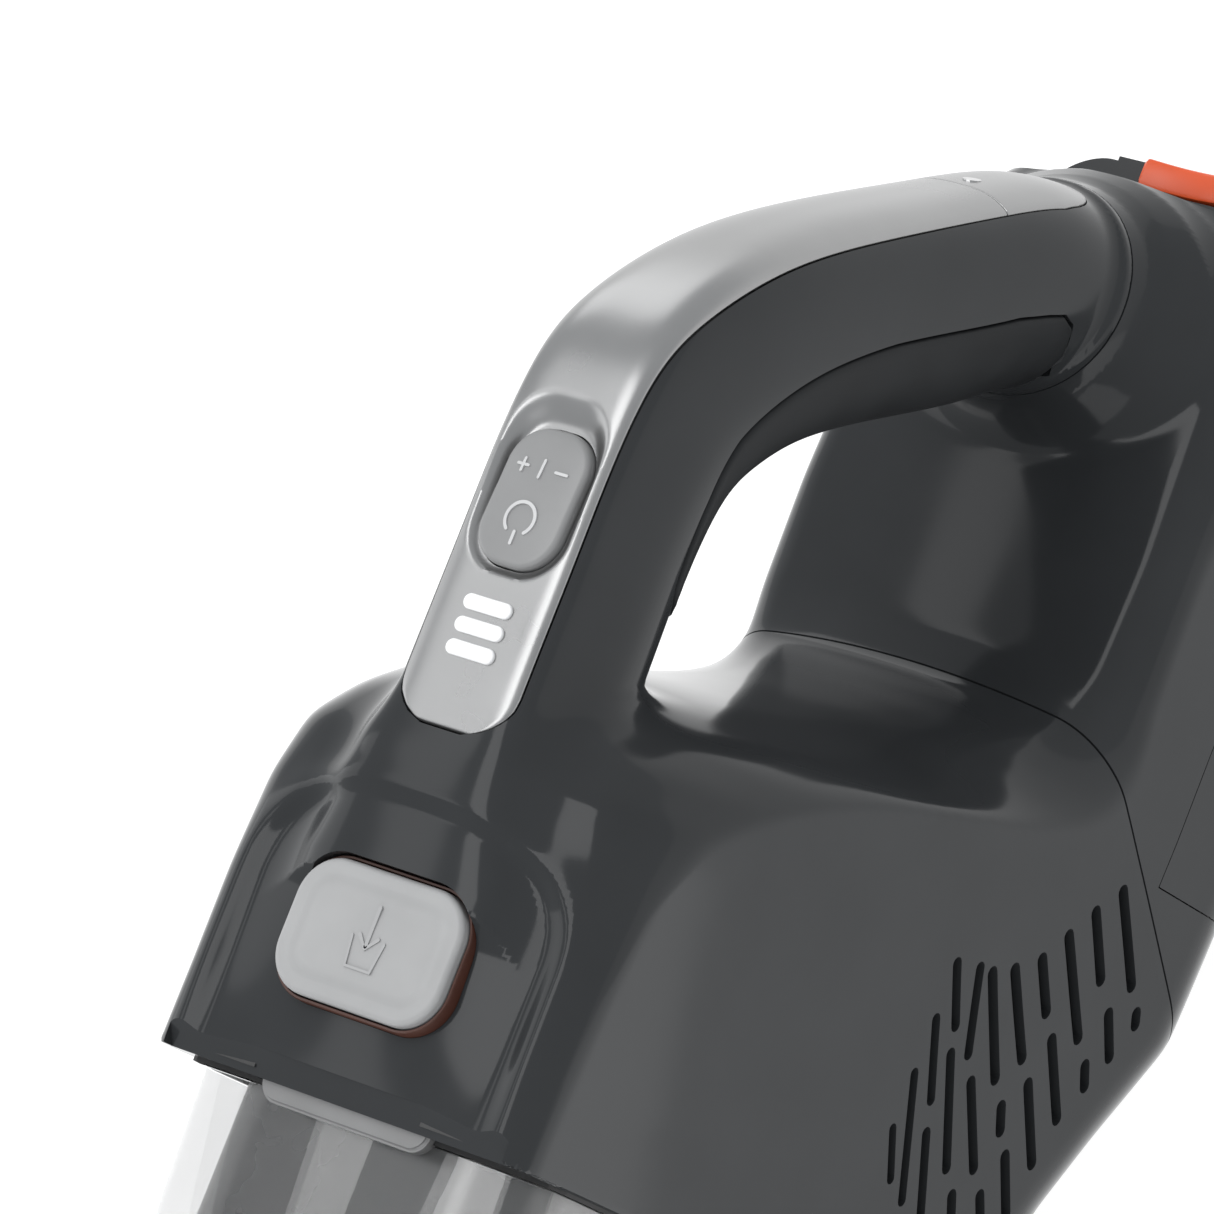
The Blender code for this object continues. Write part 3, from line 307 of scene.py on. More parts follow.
# ---------------------------------------------------------------- surface of a field
def surface(name, field, low, high, cell):
    """Closed mesh on the field's zero level, with its points pulled onto it."""
    axes = [np.arange(a, b + cell, cell) for a, b in zip(low, high)]
    x, y, z = axes[0][:, None, None], axes[1][None, :, None], axes[2][None, None, :]
    values = np.broadcast_to(field(x, y, z), tuple(len(a) for a in axes))
    inside = values < 0
    shape = tuple(n - 1 for n in values.shape)
    total, count = np.zeros(shape + (3,)), np.zeros(shape)
    edges = []
    for axis in range(3):
        first = [slice(None)] * 3
        second = [slice(None)] * 3
        first[axis], second[axis] = slice(0, -1), slice(1, None)
        a, b = values[tuple(first)], values[tuple(second)]
        cut = inside[tuple(first)] != inside[tuple(second)]
        t = np.where(cut, a / np.where(cut, a - b, 1), 0)
        place = np.stack(np.meshgrid(*[np.arange(n) for n in cut.shape], indexing="ij"), -1).astype(float)
        place[..., axis] += t
        place[~cut] = 0
        others = [k for k in range(3) if k != axis]
        for s0 in (0, 1):
            for s1 in (0, 1):
                pick = [slice(None)] * 3
                pick[others[0]] = slice(s0, shape[others[0]] + s0)
                pick[others[1]] = slice(s1, shape[others[1]] + s1)
                total += place[tuple(pick)]
                count += cut[tuple(pick)]
        edges.append((axis, others, cut, inside[tuple(first)]))
    used = count > 0
    number = np.full(shape, -1)
    number[used] = np.arange(used.sum())
    points = total[used] / count[used][:, None] * cell + np.array([a[0] for a in axes])
    quads = []
    for axis, others, cut, starts_inside in edges:
        i = np.argwhere(cut)
        ok = np.all([(i[:, k] > 0) & (i[:, k] < values.shape[k] - 1) for k in others], axis=0)
        i = i[ok]
        ring = []
        for s0, s1 in ((-1, -1), (0, -1), (0, 0), (-1, 0)):
            j = i.copy()
            j[:, others[0]] += s0
            j[:, others[1]] += s1
            ring.append(number[tuple(j.T)])
        ring = np.stack(ring, 1)
        flip = starts_inside[tuple(i.T)] ^ (axis == 1)
        ring[~flip] = ring[~flip][:, ::-1]
        quads.append(ring)
    quads = np.concatenate(quads)
    for _ in range(2):
        value, g = field(*points.T), gradient(field, points)
        step = g * (value / np.maximum((g ** 2).sum(1), 0.05))[:, None]
        long = np.linalg.norm(step, axis=1)
        points -= step * np.minimum(1, cell * 0.6 / np.maximum(long, 1e-9))[:, None]
    return mesh_object(name, points, quads)


def linked(name, mesh):
    obj = bpy.data.objects.new(name, mesh)
    bpy.context.scene.collection.objects.link(obj)
    return obj


def mesh_object(name, points, faces):
    mesh = bpy.data.meshes.new(name)
    points = np.asarray(points, float)
    if isinstance(faces, np.ndarray):
        mesh.vertices.add(len(points))
        mesh.vertices.foreach_set("co", points.ravel())
        mesh.loops.add(faces.size)
        mesh.loops.foreach_set("vertex_index", faces.ravel().astype(np.int32))
        mesh.polygons.add(len(faces))
        mesh.polygons.foreach_set("loop_start", np.arange(0, faces.size, faces.shape[1], dtype=np.int32))
        mesh.update(calc_edges=True)
        mesh.validate()
    else:
        mesh.from_pydata(points.tolist(), [], faces)
        mesh.update()
    return linked(name, mesh)


# ---------------------------------------------------------------- mesh tools
def from_bmesh(name, bm):
    """New object from a mesh under construction, with its faces turned outwards."""
    bmesh.ops.recalc_face_normals(bm, faces=bm.faces[:])
    mesh = bpy.data.meshes.new(name)
    bm.to_mesh(mesh)
    bm.free()
    return linked(name, mesh)


def outward(obj):
    """Turns the faces of a closed mesh outwards."""
    bm = bmesh.new()
    bm.from_mesh(obj.data)
    bmesh.ops.recalc_face_normals(bm, faces=bm.faces[:])
    bm.to_mesh(obj.data)
    bm.free()
    return obj


def box_mesh(name, low, high):
    bm = bmesh.new()
    low, high = Vector(low), Vector(high)
    bmesh.ops.create_cube(bm, size=1.0)
    bmesh.ops.scale(bm, vec=high - low, verts=bm.verts)
    bmesh.ops.translate(bm, vec=(low + high) / 2, verts=bm.verts)
    return from_bmesh(name, bm)


def extruded(name, outline, push):
    """Solid from a flat outline of points, pushed along a direction."""
    bm = bmesh.new()
    bm.faces.new([bm.verts.new(p) for p in outline])
    made = bmesh.ops.extrude_face_region(bm, geom=bm.faces[:])
    bmesh.ops.translate(bm, vec=push, verts=[v for v in made["geom"] if isinstance(v, bmesh.types.BMVert)])
    return from_bmesh(name, bm)


def side_prism(name, outline, x_low=-0.08, x_high=0.08):
    """Solid whose outline of (y, z) is pushed along X."""
    return extruded(name, [(x_low, y, z) for y, z in outline], (x_high - x_low, 0, 0))


def front_prism(name, outline, y_low, depth, z_shift):
    """Solid whose outline of (x, z) is pushed back along Y."""
    return extruded(name, [(x, y_low, z_shift + z) for x, z in outline], (0, depth, 0))


def lofted(name, rings):
    """Closed solid through rings of equal point counts."""
    rings = np.asarray(rings, float)
    rows, count = rings.shape[:2]
    faces = []
    for i in range(rows - 1):
        for j in range(count):
            k = (j + 1) % count
            faces.append((i * count + j, i * count + k, (i + 1) * count + k, (i + 1) * count + j))
    faces.append(tuple(range(count)))
    faces.append(tuple(range((rows - 1) * count, rows * count)))
    return outward(mesh_object(name, rings.reshape(-1, 3), faces))


def round_rect(width, length, radius, steps=8):
    points = []
    for sx, sy, start in ((1, 1, 0), (-1, 1, 90), (-1, -1, 180), (1, -1, 270)):
        for k in range(steps + 1):
            a = math.radians(start + 90 * k / steps)
            points.append((sx * (width / 2 - radius) + radius * math.cos(a),
                           sy * (length / 2 - radius) + radius * math.sin(a)))
    return points


def carve(obj, cutters, operation="DIFFERENCE"):
    """Applies Booleans with these closed cutters, and removes the cutters."""
    for cutter in cutters:
        mod = obj.modifiers.new("carve", "BOOLEAN")
        mod.operation, mod.object, mod.solver = operation, cutter, "MANIFOLD"
    bpy.context.view_layer.update()
    made = bpy.data.meshes.new_from_object(obj.evaluated_get(bpy.context.evaluated_depsgraph_get()))
    obj.modifiers.clear()
    old, obj.data = obj.data, made
    bpy.data.meshes.remove(old)
    for cutter in cutters:
        bpy.data.objects.remove(cutter)
    return obj


def shade_from(obj, field, flat_angle=26):
    """Normals from the field where the mesh lies on it, and flat normals on the walls of cuts."""
    mesh = obj.data
    count = len(mesh.vertices)
    points = np.empty(count * 3)
    mesh.vertices.foreach_get("co", points)
    points = points.reshape(-1, 3)
    g = gradient(field, points, 0.0004)
    g /= np.maximum(np.linalg.norm(g, axis=1), 1e-9)[:, None]
    on = np.abs(field(*points.T)) < 0.00006
    loops = np.empty(len(mesh.loops), np.int32)
    mesh.loops.foreach_get("vertex_index", loops)
    sizes = np.empty(len(mesh.polygons), np.int32)
    mesh.polygons.foreach_get("loop_total", sizes)
    normals = np.empty(len(mesh.polygons) * 3)
    mesh.polygons.foreach_get("normal", normals)
    face = np.repeat(normals.reshape(-1, 3), sizes, axis=0)
    smooth = g[loops]
    good = on[loops] & ((smooth * face).sum(1) > math.cos(math.radians(flat_angle)))
    chosen = np.where(good[:, None], smooth, face)
    mesh.polygons.foreach_set("use_smooth", np.ones(len(mesh.polygons), bool))
    mesh.normals_split_custom_set(chosen.tolist())
    mesh.update()


def smooth_by_angle(obj, degrees=35):
    mesh = obj.data
    mesh.polygons.foreach_set("use_smooth", np.ones(len(mesh.polygons), bool))
    mesh.set_sharp_from_angle(angle=math.radians(degrees))
    return obj


def copy_of(obj, name):
    return linked(name, obj.data.copy())


# ---------------------------------------------------------------- sections of the hull and the bowl
def section_ring(y, table, inset, shift=0.0):
    """Points round a section of a table, moved inwards; shift reads the table further back."""
    values = [float(v) for v in table(np.array(y + shift))]
    top, crown, half, bottom, r_top, r_low = values
    top, half, bottom = top - inset, half - inset, bottom + inset
    r_top, r_low = max(r_top - inset, 0.002), max(r_low - inset, 0.002)
    ring = []
    arc = [half - r_top + r_top * math.sin(math.radians(90 * k / 10)) for k in range(1, 11)]
    for x in [(half - r_top) * k / 12 for k in range(13)] + arc:
        fall = r_top - math.sqrt(max(r_top ** 2 - max(x - half + r_top, 0) ** 2, 0))
        ring.append((x, top - crown * (x / (0.75 * half)) ** 2 - fall))
    edge = ring[-1][1]
    for k in range(1, 6):
        ring.append((half, edge + (bottom + r_low - edge) * k / 6))
    for k in range(9):
        a = math.radians(-90 * k / 8)
        ring.append((half - r_low + r_low * math.cos(a), bottom + r_low + r_low * math.sin(a)))
    ring += [((half - r_low) * 0.5, bottom), (0.0, bottom)]
    ring += [(-x, z) for x, z in ring[-2:0:-1]]
    return [(x, y, z) for x, z in ring]


def hull_loft(name, y_from, y_to, inset, shift, step=0.004):
    ys = np.linspace(y_from, y_to, max(2, int((y_to - y_from) / step) + 1))
    return lofted(name, [section_ring(y, hull_at, inset, shift) for y in ys])


# ---------------------------------------------------------------- housings and battery
whole = surface("whole", body, (-0.0535, -0.0600, -0.0020), (0.0535, 0.2050, 0.2350), CELL)


def tail_outline(grow):
    """Everything behind the seam and below the handle's end, moved outwards by grow."""
    slant = grow * math.hypot(1, SEAM_SLOPE) / SEAM_SLOPE
    z_top = HANDLE_END_Z + grow
    z_low = -0.06
    y_top, y_low = (SEAM_Y + (z - SEAM_Z) / SEAM_SLOPE - slant for z in (z_top, z_low))
    return [(y_low, z_low), (0.30, z_low), (0.30, z_top), (y_top, z_top)]


# y, z round the battery's end block, from its underside inside the tail
BATTERY = [(0.0520, -0.0500), (0.0520, 0.0465), (0.1885, 0.0465), (0.1885, 0.0570), (0.1995, 0.0570),
           (0.2012, 0.0450), (0.2020, 0.0300), (0.2020, 0.0040), (0.2000, 0.0010), (0.1960, -0.0500)]


def battery_outline(grow):
    """The battery's outline, with its front and its steps moved outwards by grow."""
    moves = [(-1, 0), (-1, 1), (-1, 1), (-1, 0)] + [(0, 0)] * (len(BATTERY) - 4)
    return [(y + grow * a, z + grow * b) for (y, z), (a, b) in zip(BATTERY, moves)]


def vent_cutters():
    """Slots with round ends through both flanks."""
    bm = bmesh.new()
    for side in (-1, 1):
        for y0, z0, y1, z1, wide in VENTS:
            a, b = Vector((y0, z0)), Vector((y1, z1))
            along = (b - a).normalized()
            across_it = Vector((-along.y, along.x))
            outline = []
            for end, sign in ((a, -1), (b, 1)):
                for k in range(7):
                    t = math.radians(90 - 30 * k)
                    off = along * sign * math.cos(t) * wide / 2 + across_it * sign * math.sin(t) * wide / 2
                    outline.append(end + off - along * sign * wide / 2)
            rings = [[bm.verts.new((side * x, p.x, p.y)) for p in outline] for x in (0.0420, 0.0560)]
            bm.faces.new(rings[0])
            bm.faces.new(rings[1])
            for k in range(len(outline)):
                m = (k + 1) % len(outline)
                bm.faces.new((rings[0][k], rings[0][m], rings[1][m], rings[1][k]))
    return from_bmesh("vent_cutters", bm)


# Slots in each flank, a slanting column at a time from the front: upper end y, z, lower end y, z, width
VENTS = [
    (0.0483, 0.0602, 0.0299, 0.0402, 0.00324), (0.0277, 0.0360, 0.0230, 0.0329, 0.00324),
    (0.0417, 0.0668, 0.0278, 0.0524, 0.00324), (0.0246, 0.0463, 0.0145, 0.0371, 0.00324),
    (0.0346, 0.0729, 0.0149, 0.0514, 0.00324), (0.0128, 0.0467, 0.0065, 0.0418, 0.00324),
    (0.0277, 0.0787, 0.0164, 0.0669, 0.00324), (0.0141, 0.0629, -0.0021, 0.0469, 0.00324),
    (0.0231, 0.0867, 0.0056, 0.0686, 0.00324), (0.0037, 0.0647, -0.0128, 0.0494, 0.00324),
    (0.0203, 0.0939, -0.0008, 0.0752, 0.00324), (-0.0029, 0.0708, -0.0099, 0.0659, 0.00324),
    (-0.0117, 0.0623, -0.0249, 0.0512, 0.00324),
    (0.0201, 0.0985, 0.0010, 0.0887, 0.00288), (-0.0015, 0.0853, -0.0192, 0.0698, 0.00312),
    (-0.0214, 0.0655, -0.0300, 0.0583, 0.00312),
    (0.0185, 0.1073, 0.0050, 0.0971, 0.00288), (0.0017, 0.0963, -0.0217, 0.0797, 0.00300),
    (-0.0239, 0.0755, -0.0374, 0.0657, 0.00312),
    (0.0065, 0.1063, -0.0107, 0.0951, 0.00276), (-0.0149, 0.0934, -0.0327, 0.0821, 0.00288),
    (-0.0053, 0.1059, -0.0317, 0.0909, 0.00264), (-0.0174, 0.1056, -0.0286, 0.0979, 0.00240),
]


def plan_prism(name, centre, width, length, radius, z_low, z_high, steps=10):
    outline = [(centre[0] + x, centre[1] + y, z_low) for x, y in round_rect(width, length, radius, steps)]
    return extruded(name, outline, (0, 0, z_high - z_low))


# ---------------------------------------------------------------- places on the handle
# its crest as a path: station number against length along the outer curve
PATH_U = np.linspace(0.9, LAST_U - 0.05, 900)
PATH = handle_at(PATH_U)
PATH_S = np.concatenate([[0], np.cumsum(np.hypot(np.diff(PATH[:, 0]), np.diff(PATH[:, 1])))])


def u_at(s):
    return np.interp(s, PATH_S, PATH_U)


def s_of_y(y):
    return float(np.interp(y, PATH[:, 0], PATH_S))


def on_handle(u, x):
    """Point of the handle's outer surface at station u and side offset x."""
    u, x = np.broadcast_arrays(np.asarray(u, float), np.asarray(x, float))
    n = np.full(u.shape, 0.9)
    for _ in range(12):
        half, power = girth(u, n)
        n = np.maximum(1 - np.minimum(np.abs(x) / half, 0.9995) ** power, 1e-6) ** (1 / power)
    return handle_point(u, x, n)


def handle_point(u, x, n):
    """Point at station u, side offset x and height n across the section, -1 inner to 1 outer."""
    v = handle_at(u)
    mid = (v[..., 0:2] + v[..., 2:4]) / 2
    reach = (v[..., 0:2] - v[..., 2:4]) / 2
    yz = mid + reach * n[..., None]
    return np.stack([x, yz[..., 0], yz[..., 1]], -1)


def slab(name, top, under):
    """Closed solid between two equal grids of points."""
    rows, cols = top.shape[:2]
    points = np.concatenate([top.reshape(-1, 3), under.reshape(-1, 3)])
    faces, base = [], rows * cols
    for i in range(rows - 1):
        for j in range(cols - 1):
            a, b, c, d = i * cols + j, i * cols + j + 1, (i + 1) * cols + j + 1, (i + 1) * cols + j
            faces += [(a, b, c, d), (base + d, base + c, base + b, base + a)]
    for i in range(rows - 1):
        for j in (0, cols - 1):
            a, d = i * cols + j, (i + 1) * cols + j
            faces.append((a, d, base + d, base + a) if j == 0 else (d, a, base + a, base + d))
    for j in range(cols - 1):
        for i in (0, rows - 1):
            a, b = i * cols + j, i * cols + j + 1
            faces.append((b, a, base + a, base + b) if i == 0 else (a, b, base + b, base + a))
    return outward(mesh_object(name, points, faces))


def grid_normals(points, outside):
    """Unit normals of a grid of points, on the side that this (y, z) direction at its middle points to."""
    n = np.cross(np.gradient(points, axis=0), np.gradient(points, axis=1))
    n /= np.maximum(np.linalg.norm(n, axis=2), 1e-12)[..., None]
    middle = n[len(points) // 2, points.shape[1] // 2]
    return n if middle[1] * outside[0] + middle[2] * outside[1] >= 0 else -n


# ---------------------------------------------------------------- silver cover
PANEL_START = s_of_y(0.0168)
PANEL_CUT = s_of_y(0.1665)
HIGHEST = int(np.argmax(PATH[:, 1]))
PANEL_END = float(np.interp(-0.1030, -PATH[HIGHEST:, 1], PATH_S[HIGHEST:]))
UPWARD = (0.0, 1.0)
EDGE_FALL = 0.001       # scale of the roll of the cover's long edges


def panel_half(s):
    """Half width of the cover against length along it."""
    front = np.interp(s - PANEL_START, (0, 0.0004, 0.0012, 0.0024, 0.0036, 0.0049, 0.0070, 0.0095),
                      (0.0048, 0.0068, 0.0088, 0.0106, 0.0118, 0.0130, 0.0139, 0.0142))
    tail = np.interp(PANEL_END - s, (0, 0.0004, 0.0012, 0.0024, 0.0040, 0.0062, 0.0090, 0.0150),
                     (0.0050, 0.0070, 0.0088, 0.0103, 0.0115, 0.0125, 0.0133, 0.0142))
    return np.minimum(front, tail)


def rect_distance(x, y, cx, cy, hx, hy, r):
    """Distance to a rounded rectangle of these half sizes, negative inside."""
    qx, qy = np.abs(x - cx) - (hx - r), np.abs(y - cy) - (hy - r)
    return np.hypot(np.maximum(qx, 0), np.maximum(qy, 0)) + np.minimum(np.maximum(qx, qy), 0) - r


def panel_dent(x, y, z):
    """Depth of the scoop round the power button."""
    outer = rect_distance(x, y, 0, 0.0677, 0.0124, 0.0194, 0.0098)
    inner = rect_distance(x, y, 0, 0.0648, 0.0104, 0.0152, 0.0087)
    t = np.clip(-outer / np.maximum(-outer + np.maximum(inner, 0), 1e-6), 0, 1)
    deep = np.interp(y, (0.048, 0.080), (0.0011, 0.0036))
    return np.where((outer < 0) & (z > 0.2), smooth_step(t) * deep, 0)


def panel_points(s, half, t):
    """Points and normals of the handle's crest at lengths s and shares t of the half width."""
    x = half[:, None] * t[None, :]
    points = on_handle(u_at(s)[:, None] + 0 * x, x)
    return points, grid_normals(points, UPWARD)


def quarter(distance, radius):
    """Fall of a rounded edge at a distance in from it."""
    return radius * (1 - np.sqrt(np.clip(1 - (1 - np.clip(distance / radius, 0, 1)) ** 2, 0, 1)))


def panel_piece(name, s_from, s_to, start_radius, end_radius):
    """Cover between two lengths along the handle, with its long edges rolled down."""
    s = np.arange(s_from, s_to, 0.0006)
    ends = (0.0, 0.00012, 0.0003, 0.0006, 0.0010)
    s = np.unique(np.concatenate([s[(s > s_from + 0.0012) & (s < s_to - 0.0012)],
                                  [s_from + e for e in ends], [s_to - e for e in ends]]))
    t = np.concatenate([[-1, -0.992, -0.975, -0.945], np.linspace(-0.90, 0.90, 61), [0.945, 0.975, 0.992, 1]])
    points, normals = panel_points(s, panel_half(s), t)
    roll = np.interp(np.abs(t), (0.90, 0.945, 0.975, 0.992, 1), (0, 0.05, 0.16, 0.33, 0.62)) * EDGE_FALL
    drop = np.maximum(quarter(s - s_from, start_radius), quarter(s_to - s, end_radius))
    drop = np.maximum(drop[:, None], roll[None, :])
    dent = panel_dent(points[..., 0], points[..., 1], points[..., 2])
    top = points + normals * (0.00035 - drop - dent)[..., None]
    under = points - normals * np.where(dent > 0, 0.0052, 0.0024)[..., None]
    return slab(name, top, under)


def panel_cutter(name, grow):
    s = np.arange(PANEL_START - grow, PANEL_END + grow, 0.0015)
    half = panel_half(np.clip(s, PANEL_START, PANEL_END)) + grow
    points, normals = panel_points(s, half, np.linspace(-1, 1, 25))
    return slab(name, points + normals * 0.0015, points - normals * 0.0027)


panel = panel_piece("power_panel_skin", PANEL_START, PANEL_CUT - 0.00015, 0.0008, 0.0003)
cap = panel_piece("end_cap_skin", PANEL_CUT + 0.00015, PANEL_END, 0.0003, 0.0008)


# ---------------------------------------------------------------- soft grip insert
# y, z along the insert's upper border, at its side
GRIP_LINE = [(0.0540, 0.2000), (0.0600, 0.2026), (0.0680, 0.2036), (0.0780, 0.2034), (0.0916, 0.2013),
             (0.1050, 0.1912), (0.1255, 0.1640), (0.1442, 0.1288), (0.1510, 0.1120), (0.1530, 0.1070)]
GRIP_U, GRIP_N = station_of(*np.array(GRIP_LINE).T)[:2]
GRIP_U_STEP = 0.022     # metres to one station along the grip, about
GRIP_N_STEP = 0.018     # metres to one unit of n across it, about


def grip_band(rise_middle, rise_edge, grow):
    """Points of the inner side of the grip, out to the insert's border moved outwards."""
    first, last = GRIP_U[0] - grow / GRIP_U_STEP, GRIP_U[-1] + grow / GRIP_U_STEP
    order = np.argsort(GRIP_U)
    share = np.concatenate([[0, 0.004, 0.012, 0.03, 0.06, 0.10], np.linspace(0.15, 0.85, 120),
                            [0.90, 0.94, 0.97, 0.988, 0.996, 1]])
    u = first + (last - first) * share
    n_edge = np.clip(np.interp(u, GRIP_U[order], GRIP_N[order]) + grow / GRIP_N_STEP, -0.98, 0.3)
    for end in (first, last):
        d = np.clip(np.abs(u - end) / 0.42, 0, 1)
        n_edge = np.where(d < 1, -0.97 + (n_edge + 0.97) * np.sqrt(1 - (1 - d) ** 2), n_edge)
    half, power = girth(u, n_edge)
    limit = np.arccos(np.clip(np.sign(-n_edge) * np.abs(n_edge) ** (power / 2), -1, 1))
    t = np.concatenate([[-1, -0.99, -0.97, -0.94], np.linspace(-0.9, 0.9, 49), [0.94, 0.97, 0.99, 1]])
    phi = limit[:, None] * t[None, :]
    c = np.cos(phi)
    n = -np.sign(c) * np.abs(c) ** (2 / power[:, None])
    half, power = girth(u[:, None] + 0 * n, n)
    x = half * np.sign(np.sin(phi)) * (1 - np.minimum(np.abs(n), 1) ** power) ** (1 / power)
    points = handle_point(u[:, None] + 0 * n, x, n)
    v = handle_at(np.array(u[len(u) // 2]))
    normals = grid_normals(points, v[2:4] - v[0:2])
    along = np.minimum(np.abs(u - first), np.abs(last - u)) * GRIP_U_STEP
    sideways = (1 - np.abs(t))[None, :] * limit[:, None] * GRIP_N_STEP
    border = np.clip(np.minimum(along[:, None], sideways) / 0.0013, 0, 1)
    rise = rise_edge + (rise_middle - rise_edge) * np.sqrt(1 - (1 - border) ** 2)
    return points + normals * rise[..., None], points - normals * 0.0016


grip = slab("grip_skin", *grip_band(0.0006, -0.0006, 0.0))
grip_cutter = slab("grip_cutter", *grip_band(0.0030, 0.0030, 0.0004))

# ---------------------------------------------------------------- cut the housings out of the whole
BEHIND = 0.2200         # past the rear end of everything
main = carve(copy_of(whole, "main_housing_skin"), [side_prism("tail_region", tail_outline(SEAM_GAP / 2))])
tail_shell = carve(copy_of(whole, "rear_housing_skin"),
                   [side_prism("tail_keep", tail_outline(-SEAM_GAP / 2))], "INTERSECT")
bpy.data.objects.remove(whole)
battery = carve(copy_of(tail_shell, "battery_case_skin"),
                [side_prism("battery_keep", battery_outline(0))], "INTERSECT")
# only the middle of the battery's step stands up, round the release key
battery = carve(battery, [box_mesh("beside_left", (-0.0600, 0.1865, 0.0465), (-0.0180, BEHIND, 0.0700)),
                          box_mesh("beside_right", (0.0180, 0.1865, 0.0465), (0.0600, BEHIND, 0.0700))])
tail_shell = carve(tail_shell, [
    side_prism("battery_gap", battery_outline(0.0003)),
    box_mesh("behind_tail", (-0.08, 0.1882, -0.02), (0.08, BEHIND, 0.12)),
    hull_loft("tail_front_cavity", -0.0010, 0.0488, WALL, 0.0035),
])

main = carve(main, [hull_loft("main_cavity", -0.0500, 0.0790, WALL, 0.0035)])
main = carve(main, [front_prism("rim_opening", round_rect(0.0860, 0.1760, 0.0130), -0.0660, 0.0180, 0.1240),
                    box_mesh("catch_slot", (-0.0222, -0.0660, 0.2080), (0.0222, -0.0450, 0.2174))])
LIP_WEDGE = [(-0.0522, 0.2222), (-0.0640, 0.2126), (-0.0640, 0.2400), (-0.0522, 0.2400)]
main = carve(main, [
    side_prism("lip", LIP_WEDGE, -0.0430, 0.0430),
    plan_prism("empty_hole", (0, EMPTY_Y), EMPTY_W + 0.0022, EMPTY_L + 0.0022, 0.0103, 0.2120, 0.2400),
    panel_cutter("panel_seat", 0.00025),
    box_mesh("board_pocket", (-0.0125, 0.0220, 0.2140), (0.0125, 0.0900, 0.2325)),
    grip_cutter,
    vent_cutters(),
])


def rod(name, x_low, x_high, y, z, radius, sides=40):
    """Closed cylinder along X."""
    turns = [2 * math.pi * k / sides for k in range(sides)]
    circle = [(y + radius * math.cos(a), z + radius * math.sin(a)) for a in turns]
    return side_prism(name, circle, x_low, x_high)


# two lugs carry the bowl's hinge pin, each with a web up to the housing
LUG_WEB = [(-0.0566, 0.0270), (-0.0566, 0.0370), (-0.0400, 0.0320), (-0.0480, 0.0245)]
for side in (-1, 1):
    low, high = sorted((side * 0.0225, side * 0.0310))
    main = carve(main, [rod("lug", low, high, HINGE_Y + 0.0006, HINGE_Z, 0.0052)], "UNION")
    main = carve(main, [side_prism("lug_web", LUG_WEB, low, high)], "UNION")
shade_from(main, body)
shade_from(tail_shell, body)
shade_from(battery, body)


# ---------------------------------------------------------------- turned edges on flat pieces
def pad_ring(centre, width, length, radius, inset, steps):
    """Outline of a rounded rectangle, moved inwards."""
    w, l = width - 2 * inset, length - 2 * inset
    r = min(max(radius - inset, 0.0004), 0.499 * min(w, l))
    return [(centre[0] + x, centre[1] + y) for x, y in round_rect(w, l, r, steps)]


def pad(name, centre, width, length, radius, profile, steps=12, base=lambda x, y: 0):
    """Rounded rectangular pad from a profile of (inset, z) above its base, outside first."""
    rings = []
    for inset, z in profile:
        outline = pad_ring(centre, width, length, radius, inset, steps)
        rings.append([(x, y, z + base(x, y)) for x, y in outline])
    return lofted(name, rings)


def ring_pad(name, centre, width, length, radius, profile, steps=12):
    """Closed ring whose cross section is the profile of (inset, z)."""
    rings = np.array([[(x, y, z) for x, y in pad_ring(centre, width, length, radius, inset, steps)]
                      for inset, z in profile])
    rows, count = rings.shape[:2]
    faces = []
    for i in range(rows):
        k = (i + 1) % rows
        for j in range(count):
            m = (j + 1) % count
            faces.append((i * count + j, i * count + m, k * count + m, k * count + j))
    return outward(mesh_object(name, rings.reshape(-1, 3), faces))


def arc_rim(r, z_top, steps=6):
    """Quarter circle from a wall up onto a top."""
    turns = [math.radians(90 * k / steps) for k in range(steps + 1)]
    return [(r - r * math.cos(a), z_top - r + r * math.sin(a)) for a in turns]


def path_solid(name, points, width, height, place):
    """Raised stroke of a symbol: a flat bar that follows points, with round ends, put on a face by place."""
    points = [Vector(p) for p in points]
    left, right = [], []
    for i, p in enumerate(points):
        along = (points[min(i + 1, len(points) - 1)] - points[max(i - 1, 0)]).normalized()
        side = Vector((-along.y, along.x)) * width / 2
        left.append(p + side)
        right.append(p - side)

    def end_cap(end, before):
        ahead = end - before
        turns = [math.atan2(ahead.y, ahead.x) + math.radians(90 - 30 * k) for k in range(1, 6)]
        return [end + Vector((math.cos(a), math.sin(a))) * width / 2 for a in turns]

    outline = left + end_cap(points[-1], points[-2]) + right[::-1] + end_cap(points[0], points[1])
    bm = bmesh.new()
    low = [bm.verts.new(place(p.x, p.y, 0)) for p in outline]
    high = [bm.verts.new(place(p.x, p.y, height)) for p in outline]
    bm.faces.new(low)
    bm.faces.new(high)
    for k in range(len(outline)):
        m = (k + 1) % len(outline)
        bm.faces.new((low[k], low[m], high[m], high[k]))
    return from_bmesh(name, bm)


def circle_points(cx, cy, r, start, end, steps):
    turns = [math.radians(start + (end - start) * k / steps) for k in range(steps + 1)]
    return [(cx + r * math.cos(a), cy + r * math.sin(a)) for a in turns]


def join(name, objects):
    bm = bmesh.new()
    for obj in objects:
        bm.from_mesh(obj.data)
        bpy.data.objects.remove(obj)
    mesh = bpy.data.meshes.new(name)
    bm.to_mesh(mesh)
    bm.free()
    return linked(name, mesh)


# ---------------------------------------------------------------- power button
def power_top(x, y):
    """Height of the power button's face: it falls towards the rear, with a slight dome."""
    slope = np.interp(y, (0.0503, 0.0793), (0.2329, 0.2308))
    dome = 0.0007 * (1 - (x * 2 / POWER_W) ** 2) * (1 - ((y - POWER_Y) * 2 / POWER_L) ** 2)
    return float(slope + max(dome, 0))


